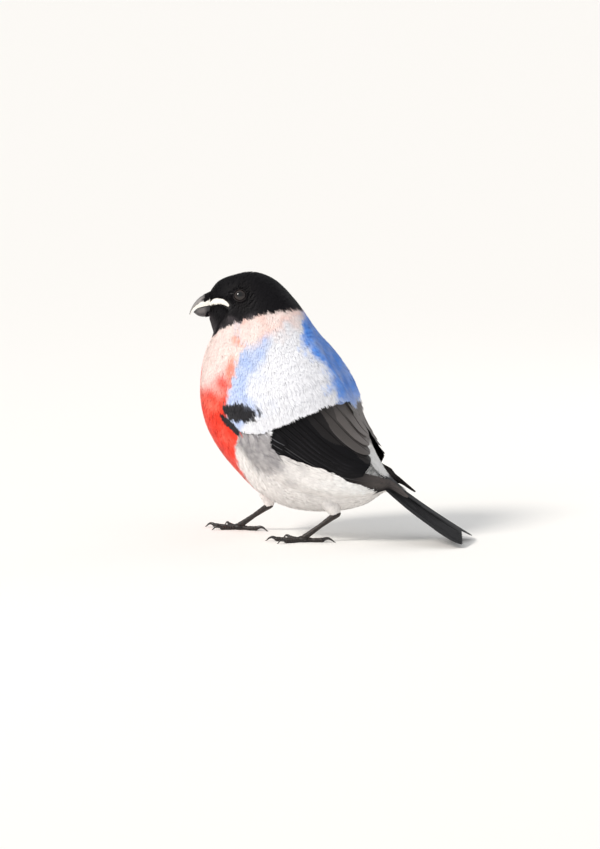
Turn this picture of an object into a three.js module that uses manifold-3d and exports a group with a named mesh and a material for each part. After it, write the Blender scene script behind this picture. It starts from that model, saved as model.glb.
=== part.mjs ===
// A male bullfinch, life-size, standing on a flat floor with its tail tip resting behind it.
// Millimetres, +Z up, the bird faces -X, its left side is -Y, and the floor is Z = 0.
import * as THREE from 'three';
import { mergeVertices } from 'three/addons/utils/BufferGeometryUtils.js';
import Module from 'manifold-3d';

const wasm = await Module();
wasm.setup();

// Driving sizes
const gap = 0.32; // between touching pieces
const vaneThick = 0.55; // at its tip
const shaftRidge = 0.18; // how much a vane rises to its shaft
const bodyRadius = 22; // that a folded feather bends around
const headTurn = THREE.MathUtils.degToRad(14); // towards the bird's left
const headPivotX = -28;
const sectionPower = 2.22; // 2 is an ellipse, more is squarer
const ringStep = 1 / 3;
const ringSides = 28;

// Rings of the plumage outline, one unit apart, from the face to the tips of the tail coverts and on
// along the tail: where the ring crosses the back and the belly, X and Z, and its half width.
const rings = [
  { at: 'face', back: [-49.6, 100.9], belly: [-50.0, 90.2], half: 4.9 },
  { at: 'brow', back: [-45.8, 105.3], belly: [-49.0, 86.8], half: 8.6 },
  { at: 'eye', back: [-39.2, 107.9], belly: [-48.3, 83.2], half: 11.2 },
  { at: 'crown', back: [-31.6, 109.0], belly: [-50.8, 78.6], half: 13.2 },
  { at: 'hind crown', back: [-23.0, 105.8], belly: [-52.6, 72.2], half: 14.9 },
  { at: 'nape', back: [-14.6, 97.6], belly: [-53.7, 64.4], half: 17.0 },
  { at: 'shoulder', back: [-6.6, 86.6], belly: [-53.7, 55.2], half: 19.7 },
  { at: 'mantle', back: [0.6, 75.4], belly: [-51.2, 45.4], half: 21.9 },
  { at: 'back', back: [7.0, 64.8], belly: [-46.0, 36.0], half: 22.7 },
  { at: 'lower back', back: [11.8, 54.6], belly: [-38.2, 26.8], half: 22.0 },
  { at: 'rump', back: [15.4, 45.0], belly: [-28.0, 17.4], half: 19.6 },
  { at: 'loin', back: [18.6, 37.2], belly: [-14.8, 11.8], half: 16.2 },
  { at: 'vent', back: [22.2, 30.8], belly: [1.6, 11.2], half: 12.6 },
  { at: 'coverts', back: [24.8, 27.2], belly: [14.8, 14.2], half: 9.4 },
  { at: 'covert tips', back: [27.74, 24.15], belly: [24.88, 20.29], half: 7.3 },
  { at: 'tail', back: [33.4, 20.0], belly: [30.5, 16.1], half: 7.6 },
  { at: 'tail end', back: [39.2, 16.1], belly: [36.3, 12.2], half: 8.0 },
];
const cuts = { neck: 4.6, chest: 6.1, coverts: 12.2 }; // where the body is parted, in ring units
const bodyEnd = 14; // the tips of the tail coverts

const eye = { radius: 3.0, ring: 3.0, around: 66, sunk: 2.05 };
const lid = { radius: 2.75, thick: 0.5, sunk: 0.1 };
const gape = { path: [[0.25, 84], [0.8, 81], [1.4, 82]], thick: [0.75, 0.6, 0.25] }; // [ring, degrees]

// Tools for solids
const smooth = (a, b, x) => THREE.MathUtils.smoothstep(x, a, b);
const lerp = THREE.MathUtils.lerp;
const rad = THREE.MathUtils.degToRad;
const vec = (x, y, z) => new THREE.Vector3(x, y, z);

function toSolid(geometry) {
  const bare = geometry.clone();
  for (const name of Object.keys(bare.attributes)) {
    if (name !== 'position') bare.deleteAttribute(name);
  }
  const merged = mergeVertices(bare, 1e-4);
  const mesh = new wasm.Mesh({
    numProp: 3,
    vertProperties: merged.attributes.position.array,
    triVerts: new Uint32Array(merged.index.array),
  });
  return new wasm.Manifold(mesh);
}

function toGeometry(solid) {
  const mesh = solid.getMesh();
  const geometry = new THREE.BufferGeometry();
  geometry.setAttribute('position', new THREE.BufferAttribute(mesh.vertProperties, 3));
  geometry.setIndex(new THREE.BufferAttribute(mesh.triVerts, 1));
  geometry.computeVertexNormals();
  return geometry;
}

// The largest closed piece of a solid.
function largest(solid) {
  return solid.decompose().reduce((a, b) => (b.volume() > a.volume() ? b : a));
}

const join = (solids) => solids.reduce((a, b) => a.add(b));

// A closed tube through rings of points, all with the same count, with a fan at each end.
function loft(sections) {
  const count = sections[0].length;
  const points = sections.flat();
  const index = [];
  for (let i = 0; i + 1 < sections.length; i++) {
    for (let j = 0; j < count; j++) {
      const a = i * count + j;
      const b = i * count + ((j + 1) % count);
      index.push(a, b, a + count, b, b + count, a + count);
    }
  }
  for (const [first, turned] of [[0, false], [(sections.length - 1) * count, true]]) {
    const middle = points.length;
    const centre = vec(0, 0, 0);
    for (let j = 0; j < count; j++) centre.addScaledVector(points[first + j], 1 / count);
    points.push(centre);
    for (let j = 0; j < count; j++) {
      const a = first + j;
      const b = first + ((j + 1) % count);
      index.push(...(turned ? [a, b, middle] : [b, a, middle]));
    }
  }
  const geometry = new THREE.BufferGeometry().setFromPoints(points);
  geometry.setIndex(index);
  const solid = toSolid(geometry);
  if (solid.volume() > 0) return solid;
  for (let i = 0; i < index.length; i += 3) [index[i + 1], index[i + 2]] = [index[i + 2], index[i + 1]];
  geometry.setIndex(index);
  return toSolid(geometry);
}

// A tube through centres with a radius each.
function tube(centres, radii, sides = 7) {
  const sections = centres.map((centre, i) => {
    const ahead = (centres[i + 1] || centre).clone().sub(centres[i - 1] || centre).normalize();
    const across = vec(0, 0, 1).cross(ahead).normalize();
    const up = ahead.clone().cross(across);
    return Array.from({ length: sides }, (_, j) => {
      const a = (2 * Math.PI * (j + 0.5)) / sides;
      const point = centre.clone().addScaledVector(across, radii[i] * Math.cos(a));
      return point.addScaledVector(up, radii[i] * Math.sin(a));
    });
  });
  return loft(sections);
}

function ball(centre, radius) {
  return toSolid(new THREE.SphereGeometry(radius, 9, 6).translate(...centre.toArray()));
}

// Body surface
const curveOf = (points) => new THREE.CatmullRomCurve3(points, false, 'catmullrom', 0.5);
const backLine = curveOf(rings.map((r) => vec(r.back[0], 0, r.back[1])));
const bellyLine = curveOf(rings.map((r) => vec(r.belly[0], 0, r.belly[1])));
const halfLine = curveOf(rings.map((r) => vec(r.half, 0, 0)));
const lastRing = rings.length - 1;

function turned(point, t) {
  const angle = headTurn * smooth(0, 3.5, 6 - t);
  const x = point.x - headPivotX;
  return vec(
    headPivotX + x * Math.cos(angle) - point.y * Math.sin(angle),
    x * Math.sin(angle) + point.y * Math.cos(angle),
    point.z,
  );
}

// A point on the body at ring t, around degrees from the back line, towards +Y on side 1 and -Y on side -1.
function onBody(t, around, side = 1, grow = 0) {
  const back = backLine.getPoint(t / lastRing);
  const belly = bellyLine.getPoint(t / lastRing);
  const centre = back.clone().add(belly).multiplyScalar(0.5);
  const up = back.clone().sub(belly).multiplyScalar(0.5);
  up.setLength(up.length() + grow);
  const half = halfLine.getPoint(t / lastRing).x + grow;
  const rounded = (v) => Math.sign(v) * Math.abs(v) ** (2 / sectionPower);
  const a = rad(around);
  const point = centre.addScaledVector(up, rounded(Math.cos(a)));
  point.y = side * half * rounded(Math.sin(a));
  return turned(point, t);
}

function normalOnBody(t, around, side) {
  const along = onBody(t + 0.05, around, side).sub(onBody(t - 0.05, around, side));
  const across = onBody(t, around + 2, side).sub(onBody(t, around - 2, side));
  return across.cross(along).multiplyScalar(-side).normalize();
}

function bodyLoft(from, to, grow = 0) {
  const sections = [];
  const steps = Math.round((to - from) / ringStep);
  for (let i = 0; i <= steps; i++) {
    const t = lerp(from, to, i / steps);
    const section = [];
    for (let j = 0; j < ringSides; j++) section.push(onBody(t, (360 * j) / ringSides, 1, grow));
    sections.push(section);
  }
  return loft(sections);
}

// A thin slab on the plane of ring t.
function ringSlab(t) {
  const [back, belly, side] = [onBody(t, 0), onBody(t, 180), onBody(t, 90)];
  const centre = back.clone().add(belly).multiplyScalar(0.5);
  const up = back.clone().sub(belly);
  const across = side.clone().sub(centre);
  const size = up.length() + 2 * across.length();
  const slab = new THREE.BoxGeometry(size, size, gap);
  const z = up.clone().cross(across).normalize();
  const y = z.clone().cross(up).normalize();
  const basis = new THREE.Matrix4().makeBasis(up.normalize(), y, z).setPosition(centre);
  return toSolid(slab.applyMatrix4(basis));
}

// Head parts
function eyeCentre(side) {
  const place = onBody(eye.ring, eye.around, side);
  return place.addScaledVector(normalOnBody(eye.ring, eye.around, side), -eye.sunk);
}

function eyeBall(side, grow = 0) {
  const ball = new THREE.SphereGeometry(eye.radius + grow, 12, 8);
  return toSolid(ball.translate(...eyeCentre(side).toArray()));
}

function eyeLid(side) {
  const out = normalOnBody(eye.ring, eye.around, side);
  const ring = new THREE.TorusGeometry(lid.radius, lid.thick, 4, 14);
  ring.applyQuaternion(new THREE.Quaternion().setFromUnitVectors(vec(0, 0, 1), out));
  const centre = onBody(eye.ring, eye.around, side).addScaledVector(out, -lid.sunk);
  return toSolid(ring.translate(...centre.toArray()));
}

// The raised corner of the mouth, running back from the bill.
function gapeLip(side) {
  return tube(gape.path.map(([t, around]) => onBody(t, around, side)), gape.thick, 5);
}

// Bill: two arched shells that meet along the line of the mouth
const bill = {
  culmen: [[-50.0, 100.3], [-53.4, 98.6], [-56.0, 95.9], [-57.4, 93.2], [-57.9, 91.4]],
  upperEdge: [[-50.3, 95.5], [-52.9, 94.9], [-55.2, 94.0], [-56.8, 92.7], [-57.5, 91.3]],
  upperHalf: [4.7, 4.1, 3.0, 1.6, 0.35],
  lowerEdge: [[-50.3, 95.1], [-52.7, 94.5], [-54.8, 93.6], [-56.2, 92.4]],
  gonys: [[-50.4, 90.6], [-52.4, 90.4], [-54.4, 90.9], [-55.9, 92.0]],
  lowerHalf: [4.4, 3.7, 2.5, 0.5],
  sides: 8,
  steps: 7,
};

// A section with a flat face at edge and an arch of the given half width up to the ridge.
function archSection(edge, ridge, half) {
  const section = [];
  for (let j = 0; j <= bill.sides; j++) {
    const a = Math.PI * (j / bill.sides - 0.5);
    const rise = Math.cos(a) ** 0.9;
    section.push(vec(lerp(edge.x, ridge.x, rise), half * Math.sin(a), lerp(edge.z, ridge.z, rise)));
  }
  return section;
}

function mandible(edge, ridge, halves) {
  const [edgeLine, ridgeLine] = [edge, ridge].map((line) => curveOf(line.map(([x, z]) => vec(x, 0, z))));
  const width = curveOf(halves.map((h) => vec(h, 0, 0)));
  const sections = [];
  for (let i = 0; i <= bill.steps; i++) {
    const u = i / bill.steps;
    const section = archSection(edgeLine.getPoint(u), ridgeLine.getPoint(u), width.getPoint(u).x);
    sections.push(section.map((p) => turned(p, 0)));
  }
  return loft(sections);
}

function nostril(side) {
  const pit = new THREE.SphereGeometry(0.6, 8, 6);
  const place = turned(vec(-51.2, side * 3.5, 98.0), 0);
  return toSolid(pit.translate(...place.toArray()));
}

// Feathers. A vane is a thin slab on a centre line: rounded at the tip, ridged along the shaft.
const vaneTip = 0.72; // where it starts to round off
const vaneStraight = 0.84; // up to where its sections are evenly spaced

function vaneWidth(u) {
  const shoulders = 0.64 + 0.36 * Math.sin(0.5 * Math.PI * Math.min(1, u / 0.5));
  const end = Math.max(0, (u - vaneTip) / (1 - vaneTip));
  return shoulders * Math.sqrt(1 - 0.95 * end ** 2.4);
}

// place(along, across) gives the top point and the outward normal of the slab there.
function vane(place, half, bends, thickAt) {
  const straight = Array.from({ length: bends }, (_, i) => (i * vaneStraight) / (bends - 1));
  const sections = [...straight, 0.95, 1].map((u) => {
    const [low, shaft, high] = [-1, 0, 1].map((side) => place(u, side * half * vaneWidth(u)));
    const under = ({ point, out }) => point.clone().addScaledVector(out, -thickAt(u));
    return [low.point, shaft.point, high.point, under(high), under(low)];
  });
  return loft(sections);
}

// Rows of the folded wing, first feather to last. Later rows lie on top of the ones before them.
const wingRows = [
  { name: 'primaries', count: 6, bends: 5, rootRing: [7.0, 7.4], rootAround: [112, 100],
    tipRing: [15.0, 12.4], tipAround: [46, 47], half: [2.3, 3.4],
    rootHeight: 0.9, tipHeight: [1.2, 1.9], tilt: 0.3, bow: 5 },
  { name: 'secondaries', count: 5, bends: 4, rootRing: [7.2, 7.6], rootAround: [102, 74],
    tipRing: [11.7, 11.4], tipAround: [62, 40], half: [3.3, 4.2],
    rootHeight: 1.1, tipHeight: [1.7, 2.5], tilt: 0.34, bow: 3 },
  { name: 'tertials', count: 3, bends: 4, rootRing: [7.9, 8.1], rootAround: [64, 40],
    tipRing: [11.0, 9.8], tipAround: [35, 17], half: [4.4, 4.8],
    rootHeight: 1.5, tipHeight: [2.9, 3.4], tilt: 0.34, bow: 1 },
  { name: 'primary coverts', count: 3, bends: 3, rootRing: [6.9, 7.1], rootAround: [113, 105],
    tipRing: [9.2, 8.8], tipAround: [101, 95], half: [1.8, 2.2],
    rootHeight: 0.9, tipHeight: [1.9, 2.4], tilt: 0.3, bow: 2 },
  { name: 'greater coverts', count: 7, bends: 3, rootRing: [7.15, 7.5], rootAround: [104, 38],
    tipRing: [8.55, 8.95], tipAround: [95, 24], half: [2.9, 3.9],
    rootHeight: 0.9, tipHeight: [2.6, 3.3], tilt: 0.36, bow: 0 },
  { name: 'median coverts', count: 6, bends: 3, rootRing: [6.7, 7.0], rootAround: [102, 42],
    tipRing: [7.85, 8.15], tipAround: [96, 28], half: [3.0, 3.7],
    rootHeight: 1.0, tipHeight: [3.2, 3.8], tilt: 0.36, bow: 0 },
];
const shoulder = { spokes: 16, ring: 7.15, around: 76, ringHalf: 0.95, aroundHalf: 44, lean: 8 };
const shoulderRise = (share) => 0.5 + 2.6 * (1 - share ** 2.5);

// How far the folded wing stands off the narrowing rump.
const rumpLift = (t) => 2.6 * smooth(9.3, 11.4, t) * (1 - 0.75 * smooth(12.6, 14.8, t));

// A wing feather from root to tip, each given as [ring, degrees], on the side of the body.
function wingVane(side, { root, tip, half, rootHeight, tipHeight, tilt, bow, bends }) {
  const deep = rootHeight + 0.9;
  const place = (along, across) => {
    const t = lerp(root[0], tip[0], along);
    const around = lerp(root[1], tip[1], along) + bow * Math.sin(Math.PI * along);
    const step = 0.04;
    const slope = ((tip[1] - root[1]) / (tip[0] - root[0])) * step;
    const here = onBody(t, around, side);
    const out = normalOnBody(t, around, side);
    const ahead = onBody(t + step, around + slope, side).sub(here).normalize();
    const down = ahead.cross(out).multiplyScalar(side).normalize();
    const fall = (across * across) / (2 * bodyRadius);
    const raised = (tilt * across) / half + shaftRidge * (1 - Math.abs(across) / half);
    const height = lerp(rootHeight, tipHeight, along) + rumpLift(t) + raised - fall;
    return { point: here.addScaledVector(down, across).addScaledVector(out, height), out };
  };
  return vane(place, half, bends, (along) => vaneThick + (deep - vaneThick) * (1 - along) ** 1.3);
}

// Feather i of a row, between its first and last.
function rowVane(row, side, i) {
  const mix = ([first, last]) => lerp(first, last, i / (row.count - 1));
  return wingVane(side, {
    ...row,
    root: [mix(row.rootRing), mix(row.rootAround)],
    tip: [mix(row.tipRing), mix(row.tipAround)],
    half: mix(row.half),
    tipHeight: mix(row.tipHeight),
  });
}

// The bend of the wing under its small coverts: a lens that hugs the side of the chest.
function shoulderPad(side) {
  const at = (share, spoke, height) => {
    const a = (2 * Math.PI * spoke) / shoulder.spokes;
    const sideways = shoulder.aroundHalf * Math.sin(a) - shoulder.lean * Math.cos(a);
    const t = shoulder.ring + shoulder.ringHalf * share * Math.cos(a);
    const around = shoulder.around + share * sideways;
    return onBody(t, around, side).addScaledVector(normalOnBody(t, around, side), height);
  };
  const circle = (share, height) =>
    Array.from({ length: shoulder.spokes }, (_, spoke) => at(share, spoke, height));
  const dome = [0.15, 0.5, 0.8, 1].map((share) => circle(share, shoulderRise(share)));
  return loft([...dome, circle(1, -1), circle(0.5, -1)]);
}

function wing(side, keepOut) {
  const rowVanes = (row) => Array.from({ length: row.count }, (_, i) => rowVane(row, side, i));
  const vanes = wingRows.flatMap(rowVanes);
  return largest(join([shoulderPad(side), ...vanes]).subtract(keepOut));
}

// Tail: six pairs of feathers on a short root, the middle pair on top
const tail = {
  root: [5.4, 39.6], // X and Z of where the feathers are set, inside the rump
  slope: [41.5, 29.5], // degrees below level at that root and at the tips
  start: 27.5, // from that root to the ends of the coverts
  pairs: 6,
  length: [61.5, 65.0], // middle and outer feather
  half: [4.5, 4.1],
  spread: [0.9, 5.8], // degrees from the middle
  sideways: [1.6, 3.4], // at the root
  lift: [1.6, -0.6], // middle feathers lie highest
  quills: [[0, 6.9, -2.6, 1.9], [3, 6.9, -1.8, 1.6], [8, 6.2, -0.7, 1.3]], // along, half width, low, high
};

// A point on the tail's curved middle surface, height above it and sideways from the middle.
function tailPoint(along, sideways, height) {
  const [first, last] = tail.slope.map(rad);
  const turn = (last - first) / tail.length[1];
  const a = first + turn * along;
  return vec(
    tail.root[0] + (Math.sin(a) - Math.sin(first)) / turn + height * Math.sin(a),
    sideways,
    tail.root[1] + (Math.cos(a) - Math.cos(first)) / turn + height * Math.cos(a),
  );
}

function tailVane(side, i) {
  const mix = ([inner, outer]) => lerp(inner, outer, i / (tail.pairs - 1));
  const [half, splay, length] = [mix(tail.half), rad(mix(tail.spread)), mix(tail.length)];
  const place = (share, across) => {
    const along = lerp(tail.start, length, share);
    const sideways = side * (mix(tail.sideways) + along * Math.tan(splay) + across);
    const ridge = shaftRidge * (1 - Math.abs(across) / half);
    const height = mix(tail.lift) * (0.5 + 0.5 * share) - (0.12 * across) + ridge;
    const point = tailPoint(along * Math.cos(splay), sideways, height);
    return { point, out: tailPoint(along, sideways, height + 1).sub(tailPoint(along, sideways, height)) };
  };
  return vane(place, half, 4, () => vaneThick);
}

// The closed stack of quills between the coverts, as wide and deep as they leave it.
function tailRoot() {
  const section = ([along, half, low, high]) =>
    Array.from({ length: 12 }, (_, j) => {
      const a = (2 * Math.PI * j) / 12;
      return tailPoint(tail.start + along, half * Math.cos(a), lerp(low, high, 0.5 + 0.5 * Math.sin(a)));
    });
  return loft(tail.quills.map(section));
}

function tailFan() {
  const half = (side) => Array.from({ length: tail.pairs }, (_, i) => tailVane(side, i));
  return join([tailRoot(), ...half(-1), ...half(1)]);
}

// Legs
const legs = {
  left: { side: -1, hip: [-1.5, -8, 24], ankle: [5.4, -9.6, 11.6], foot: [-7.6, -11.6], yaw: 6 },
  right: { side: 1, hip: [-29.5, 8, 29], ankle: [-27.4, 8.6, 11.2], foot: [-40.8, 11.2], yaw: 10 },
};
const ankleRadius = 1.55;
const footHeight = 1.75; // of the shank's lower end
const shank = [[0, 1.4], [0.16, 1.25], [0.5, 0.95], [0.84, 1.12], [1, 1.25]]; // share of its length, radius
const thighCone = [[0, 4.8], [0.35, 4.7], [0.6, 4.2], [0.8, 3.4], [0.93, 2.5], [1, 1.9]];
const toes = [
  { name: '1', turn: 180, length: 8.2, half: 1.0, claw: 5.2 },
  { name: '2', turn: -33, length: 8.4, half: 0.88, claw: 3.9 },
  { name: '3', turn: 0, length: 12.2, half: 0.95, claw: 4.3 },
  { name: '4', turn: 33, length: 9.0, half: 0.85, claw: 3.7 },
];
const toePads = [[0, 1.05], [0.2, 1.05], [0.42, 0.9], [0.55, 1.08], [0.78, 0.88], [0.9, 1.0], [1, 0.78]];
const toeRoot = 3.5; // where toes part from the foot
const toeHeight = 0.78; // of a toe's middle, so that it has a flat sole
const clawThick = [0.65, 0.13]; // at its base and tip, as a share of the toe's

function toeFrame(leg, toe) {
  const heading = rad(180 - leg.side * (leg.yaw + toe.turn));
  const forward = vec(Math.cos(heading), Math.sin(heading), 0);
  const start = vec(leg.foot[0], leg.foot[1], 0);
  return { forward, at: (along, height) => start.clone().addScaledVector(forward, along).setZ(height) };
}

function toeSolid(leg, toe) {
  const { at } = toeFrame(leg, toe);
  const flesh = tube(
    toePads.map(([u]) => at(u * toe.length, toeHeight + (u === 0 ? 0.7 : 0.14 * Math.sin(u * 9)))),
    toePads.map(([, swell]) => swell * toe.half),
    6,
  );
  const bends = [0, 0.3, 0.65, 1];
  const arch = (u) => toeHeight + 0.35 + 0.9 * Math.sin(Math.PI * Math.min(1, u * 1.12)) - 0.95 * u;
  const horn = tube(
    bends.map((u) => at(toe.length - 0.5 + toe.claw * u, arch(u))),
    bends.map((u) => lerp(...clawThick, u ** 1.1) * toe.half),
    5,
  );
  return join([flesh, horn]);
}

function toeSlab(leg, toe, along) {
  const { forward, at } = toeFrame(leg, toe);
  const slab = new THREE.BoxGeometry(gap, 3.4, 6);
  slab.applyQuaternion(new THREE.Quaternion().setFromUnitVectors(vec(1, 0, 0), forward));
  return toSolid(slab.translate(...at(along, 1.5).toArray()));
}

const footTop = (leg) => vec(leg.foot[0], leg.foot[1], footHeight);

// The bare leg whole: ankle, shank, foot, toes and claws, flat underneath.
function wholeLeg(leg, floor) {
  const ankle = vec(...leg.ankle);
  const bone = tube(shank.map(([u]) => ankle.clone().lerp(footTop(leg), u)), shank.map(([, r]) => r), 9);
  const sole = new THREE.SphereGeometry(1, 9, 6).scale(2.5, 2.1, 1.5);
  sole.translate(leg.foot[0] - 0.4, leg.foot[1], 1.1);
  const pieces = [ball(ankle, ankleRadius), bone, toSolid(sole), ...toes.map((toe) => toeSolid(leg, toe))];
  return join(pieces).subtract(floor);
}

function legParts(leg, floor) {
  const foot = footTop(leg);
  const down = foot.clone().sub(vec(...leg.ankle)).normalize();
  const collar = new THREE.BoxGeometry(4.6, gap, 4.6);
  collar.applyQuaternion(new THREE.Quaternion().setFromUnitVectors(vec(0, 1, 0), down));
  collar.translate(...foot.clone().addScaledVector(down, -3.0).toArray());
  const slabs = toes.flatMap((toe) => [toeSlab(leg, toe, toeRoot), toeSlab(leg, toe, toe.length - 0.1)]);
  const pieces = wholeLeg(leg, floor).subtract(join([toSolid(collar), ...slabs])).decompose();
  const nearest = (target) => {
    const distance = (solid) => {
      const box = solid.boundingBox();
      const middle = vec(...box.min).add(vec(...box.max)).multiplyScalar(0.5);
      return middle.distanceTo(target);
    };
    return pieces.reduce((a, b) => (distance(b) < distance(a) ? b : a));
  };
  const named = new Map();
  named.set('tarsus', nearest(vec(...leg.ankle).lerp(foot, 0.45)));
  named.set('foot', nearest(foot));
  for (const toe of toes) {
    const { at } = toeFrame(leg, toe);
    named.set('toe_' + toe.name, nearest(at((toeRoot + toe.length) / 2, toeHeight)));
    named.set('claw_' + toe.name, nearest(at(toe.length + toe.claw / 2, toeHeight)));
  }
  return named;
}

// The feathered shin, from inside the belly to the ankle.
function thigh(leg, keepOut) {
  const [hip, ankle] = [vec(...leg.hip), vec(...leg.ankle)];
  const cone = tube(thighCone.map(([u]) => hip.clone().lerp(ankle, u)), thighCone.map(([, r]) => r), 10);
  const clear = ankleRadius + gap;
  const bone = tube([ankle, ankle.clone().lerp(footTop(leg), 0.5)], [clear, clear]);
  return largest(cone.subtract(join([keepOut, ball(ankle, clear), bone])));
}

// Materials
const material = (color, roughness) => new THREE.MeshStandardMaterial({ color, roughness, metalness: 0 });
const materials = {
  cap: material('#17161a', 0.55),
  breast: material('#f0583f', 0.8),
  white: material('#f4f1ee', 0.85),
  wing: material('#1b1b22', 0.5),
  tail: material('#15151c', 0.45),
  bill: material('#1d1c1e', 0.4),
  eye: material('#120c09', 0.08),
  leg: material('#2b2320', 0.55),
  claw: material('#1a1616', 0.4),
};

// The bird
const bird = new THREE.Group();
bird.name = 'bullfinch';

function show(name, solid, finish) {
  const mesh = new THREE.Mesh(toGeometry(solid), materials[finish]);
  mesh.name = name;
  bird.add(mesh);
}

const floor = toSolid(new THREE.BoxGeometry(300, 200, 20).translate(0, 0, -10));

const whole = join([bodyLoft(0, bodyEnd), eyeLid(-1), eyeLid(1), gapeLip(-1), gapeLip(1)])
  .subtract(join([eyeBall(-1, gap), eyeBall(1, gap)]))
  .subtract(join(Object.values(cuts).map((t) => ringSlab(t))));
const trunk = whole.decompose().sort((a, b) => b.boundingBox().max[2] - a.boundingBox().max[2]);
['head', 'neck', 'torso', 'tail_coverts'].forEach((name, i) => {
  show(name, trunk[i], ['cap', 'breast', 'breast', 'white'][i]);
});

const sides = [['left', -1], ['right', 1]];
for (const [name, side] of sides) show('eye_' + name, eyeBall(side), 'eye');

const upperBill = mandible(bill.upperEdge, bill.culmen, bill.upperHalf);
show('bill_upper', upperBill.subtract(join([nostril(-1), nostril(1)])), 'bill');
show('bill_lower', mandible(bill.lowerEdge, bill.gonys, bill.lowerHalf), 'bill');

const bodyClear = bodyLoft(5.5, bodyEnd, gap + 0.05);
for (const [name, side] of sides) show('wing_' + name, wing(side, bodyClear), 'wing');
show('tail', largest(tailFan().subtract(floor)), 'tail');

for (const [name, leg] of Object.entries(legs)) {
  show('thigh_' + name, thigh(leg, bodyClear), 'white');
  for (const [part, solid] of legParts(leg, floor)) {
    show(part + '_' + name, solid, part.startsWith('claw') ? 'claw' : 'leg');
  }
}

export default bird;
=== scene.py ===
import math
import bpy
import numpy as np
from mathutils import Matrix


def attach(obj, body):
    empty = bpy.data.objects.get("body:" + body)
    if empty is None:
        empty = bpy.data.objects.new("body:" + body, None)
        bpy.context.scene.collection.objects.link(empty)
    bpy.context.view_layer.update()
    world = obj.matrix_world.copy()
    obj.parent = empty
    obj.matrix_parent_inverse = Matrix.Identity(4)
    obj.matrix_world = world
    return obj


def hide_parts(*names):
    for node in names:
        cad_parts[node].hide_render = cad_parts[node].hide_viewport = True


# A male bullfinch, life-size, standing on a pale floor. Shapes are worked out in millimetres and turned
# to metres as each mesh is made. The bird faces -X, its left side is -Y.
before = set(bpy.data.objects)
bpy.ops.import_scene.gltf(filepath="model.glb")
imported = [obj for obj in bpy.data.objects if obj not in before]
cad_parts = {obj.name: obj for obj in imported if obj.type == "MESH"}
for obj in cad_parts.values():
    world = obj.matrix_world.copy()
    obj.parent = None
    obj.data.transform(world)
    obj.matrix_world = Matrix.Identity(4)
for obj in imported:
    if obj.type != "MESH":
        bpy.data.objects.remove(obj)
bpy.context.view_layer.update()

millimetre = 0.001
sides = {"left": -1, "right": 1}


# Numbers and colours

def linear(hexColour):
    # an sRGB hex value as the linear colour that a shader reads
    value = np.array([int(hexColour[i:i + 2], 16) for i in (1, 3, 5)]) / 255
    return np.where(value <= 0.04045, value / 12.92, ((value + 0.055) / 1.055) ** 2.4)


def smooth(low, high, x):
    # 0 below low, 1 above high, and an S curve between; it falls where high is less than low
    share = np.clip((np.asarray(x, float) - low) / (high - low), 0, 1)
    return share * share * (3 - 2 * share)


def blend(first, second, share):
    # first to second by share, for colours and points alike
    return first + (second - first) * np.asarray(share)[..., None]


def unit(vectors):
    return vectors / np.maximum(np.linalg.norm(vectors, axis=-1, keepdims=True), 1e-12)


def between(pair, share):
    # from the first value of a pair to the second by share
    return pair[0] + (pair[1] - pair[0]) * share


def mottle(places, size, seed):
    # a smooth random value of about -1 to 1: the sum of plane waves in random directions, of this size in mm
    draw = np.random.default_rng(seed)
    waves = unit(draw.normal(size=(14, 3))) * 2 * math.pi / (size * draw.uniform(0.7, 1.5, (14, 1)))
    return np.sin(places @ waves.T + draw.uniform(0, 2 * math.pi, 14)).sum(-1) / math.sqrt(14)


# The body's surface

body = {
    # where each ring crosses the back and the belly, X and Z, and its half width, from face to tail
    "rings": np.array([
        [-49.6, 100.9, -50.0, 90.2, 4.9],
        [-45.8, 105.3, -49.0, 86.8, 8.6],
        [-39.2, 107.9, -48.3, 83.2, 11.2],
        [-31.6, 109.0, -50.8, 78.6, 13.2],
        [-23.0, 105.8, -52.6, 72.2, 14.9],
        [-14.6, 97.6, -53.7, 64.4, 17.0],
        [-6.6, 86.6, -53.7, 55.2, 19.7],
        [0.6, 75.4, -51.2, 45.4, 21.9],
        [7.0, 64.8, -46.0, 36.0, 22.7],
        [11.8, 54.6, -38.2, 26.8, 22.0],
        [15.4, 45.0, -28.0, 17.4, 19.6],
        [18.6, 37.2, -14.8, 11.8, 16.2],
        [22.2, 30.8, 1.6, 11.2, 12.6],
        [24.8, 27.2, 14.8, 14.2, 9.4],
        [27.74, 24.15, 24.88, 20.29, 7.3],
        [33.4, 20.0, 30.5, 16.1, 7.6],
        [39.2, 16.1, 36.3, 12.2, 8.0],
    ]),
    "sectionPower": 2.22,  # 2 is an ellipse, more is squarer
    "headTurn": 14,  # degrees, towards the bird's left
    "headPivot": -28,  # X of the neck's axis
    "neckRings": (2.5, 6.0),  # the turn fades out between them
    "lastRing": 14.0,  # the tips of the tail coverts
}


def curveThrough(points, place):
    # a cubic curve that passes through the rows of points, at places counted in rows
    ends = np.vstack([2 * points[0] - points[1], points, 2 * points[-1] - points[-2]])
    i = np.clip(np.floor(place).astype(int), 0, len(points) - 2)
    f = (place - i)[..., None]
    a, b, c, d = ends[i], ends[i + 1], ends[i + 2], ends[i + 3]
    square, cube = 2 * a - 5 * b + 4 * c - d, 3 * b - a - 3 * c + d
    return 0.5 * (2 * b + (c - a) * f + square * f**2 + cube * f**3)


def onPath(points, share):
    # the smooth curve through a few points or values, at shares 0 to 1 of the way from first to last
    points = np.asarray(points, float).reshape(len(points), -1)
    return curveThrough(points, np.clip(np.asarray(share, float), 0, 1) * (len(points) - 1))


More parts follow.
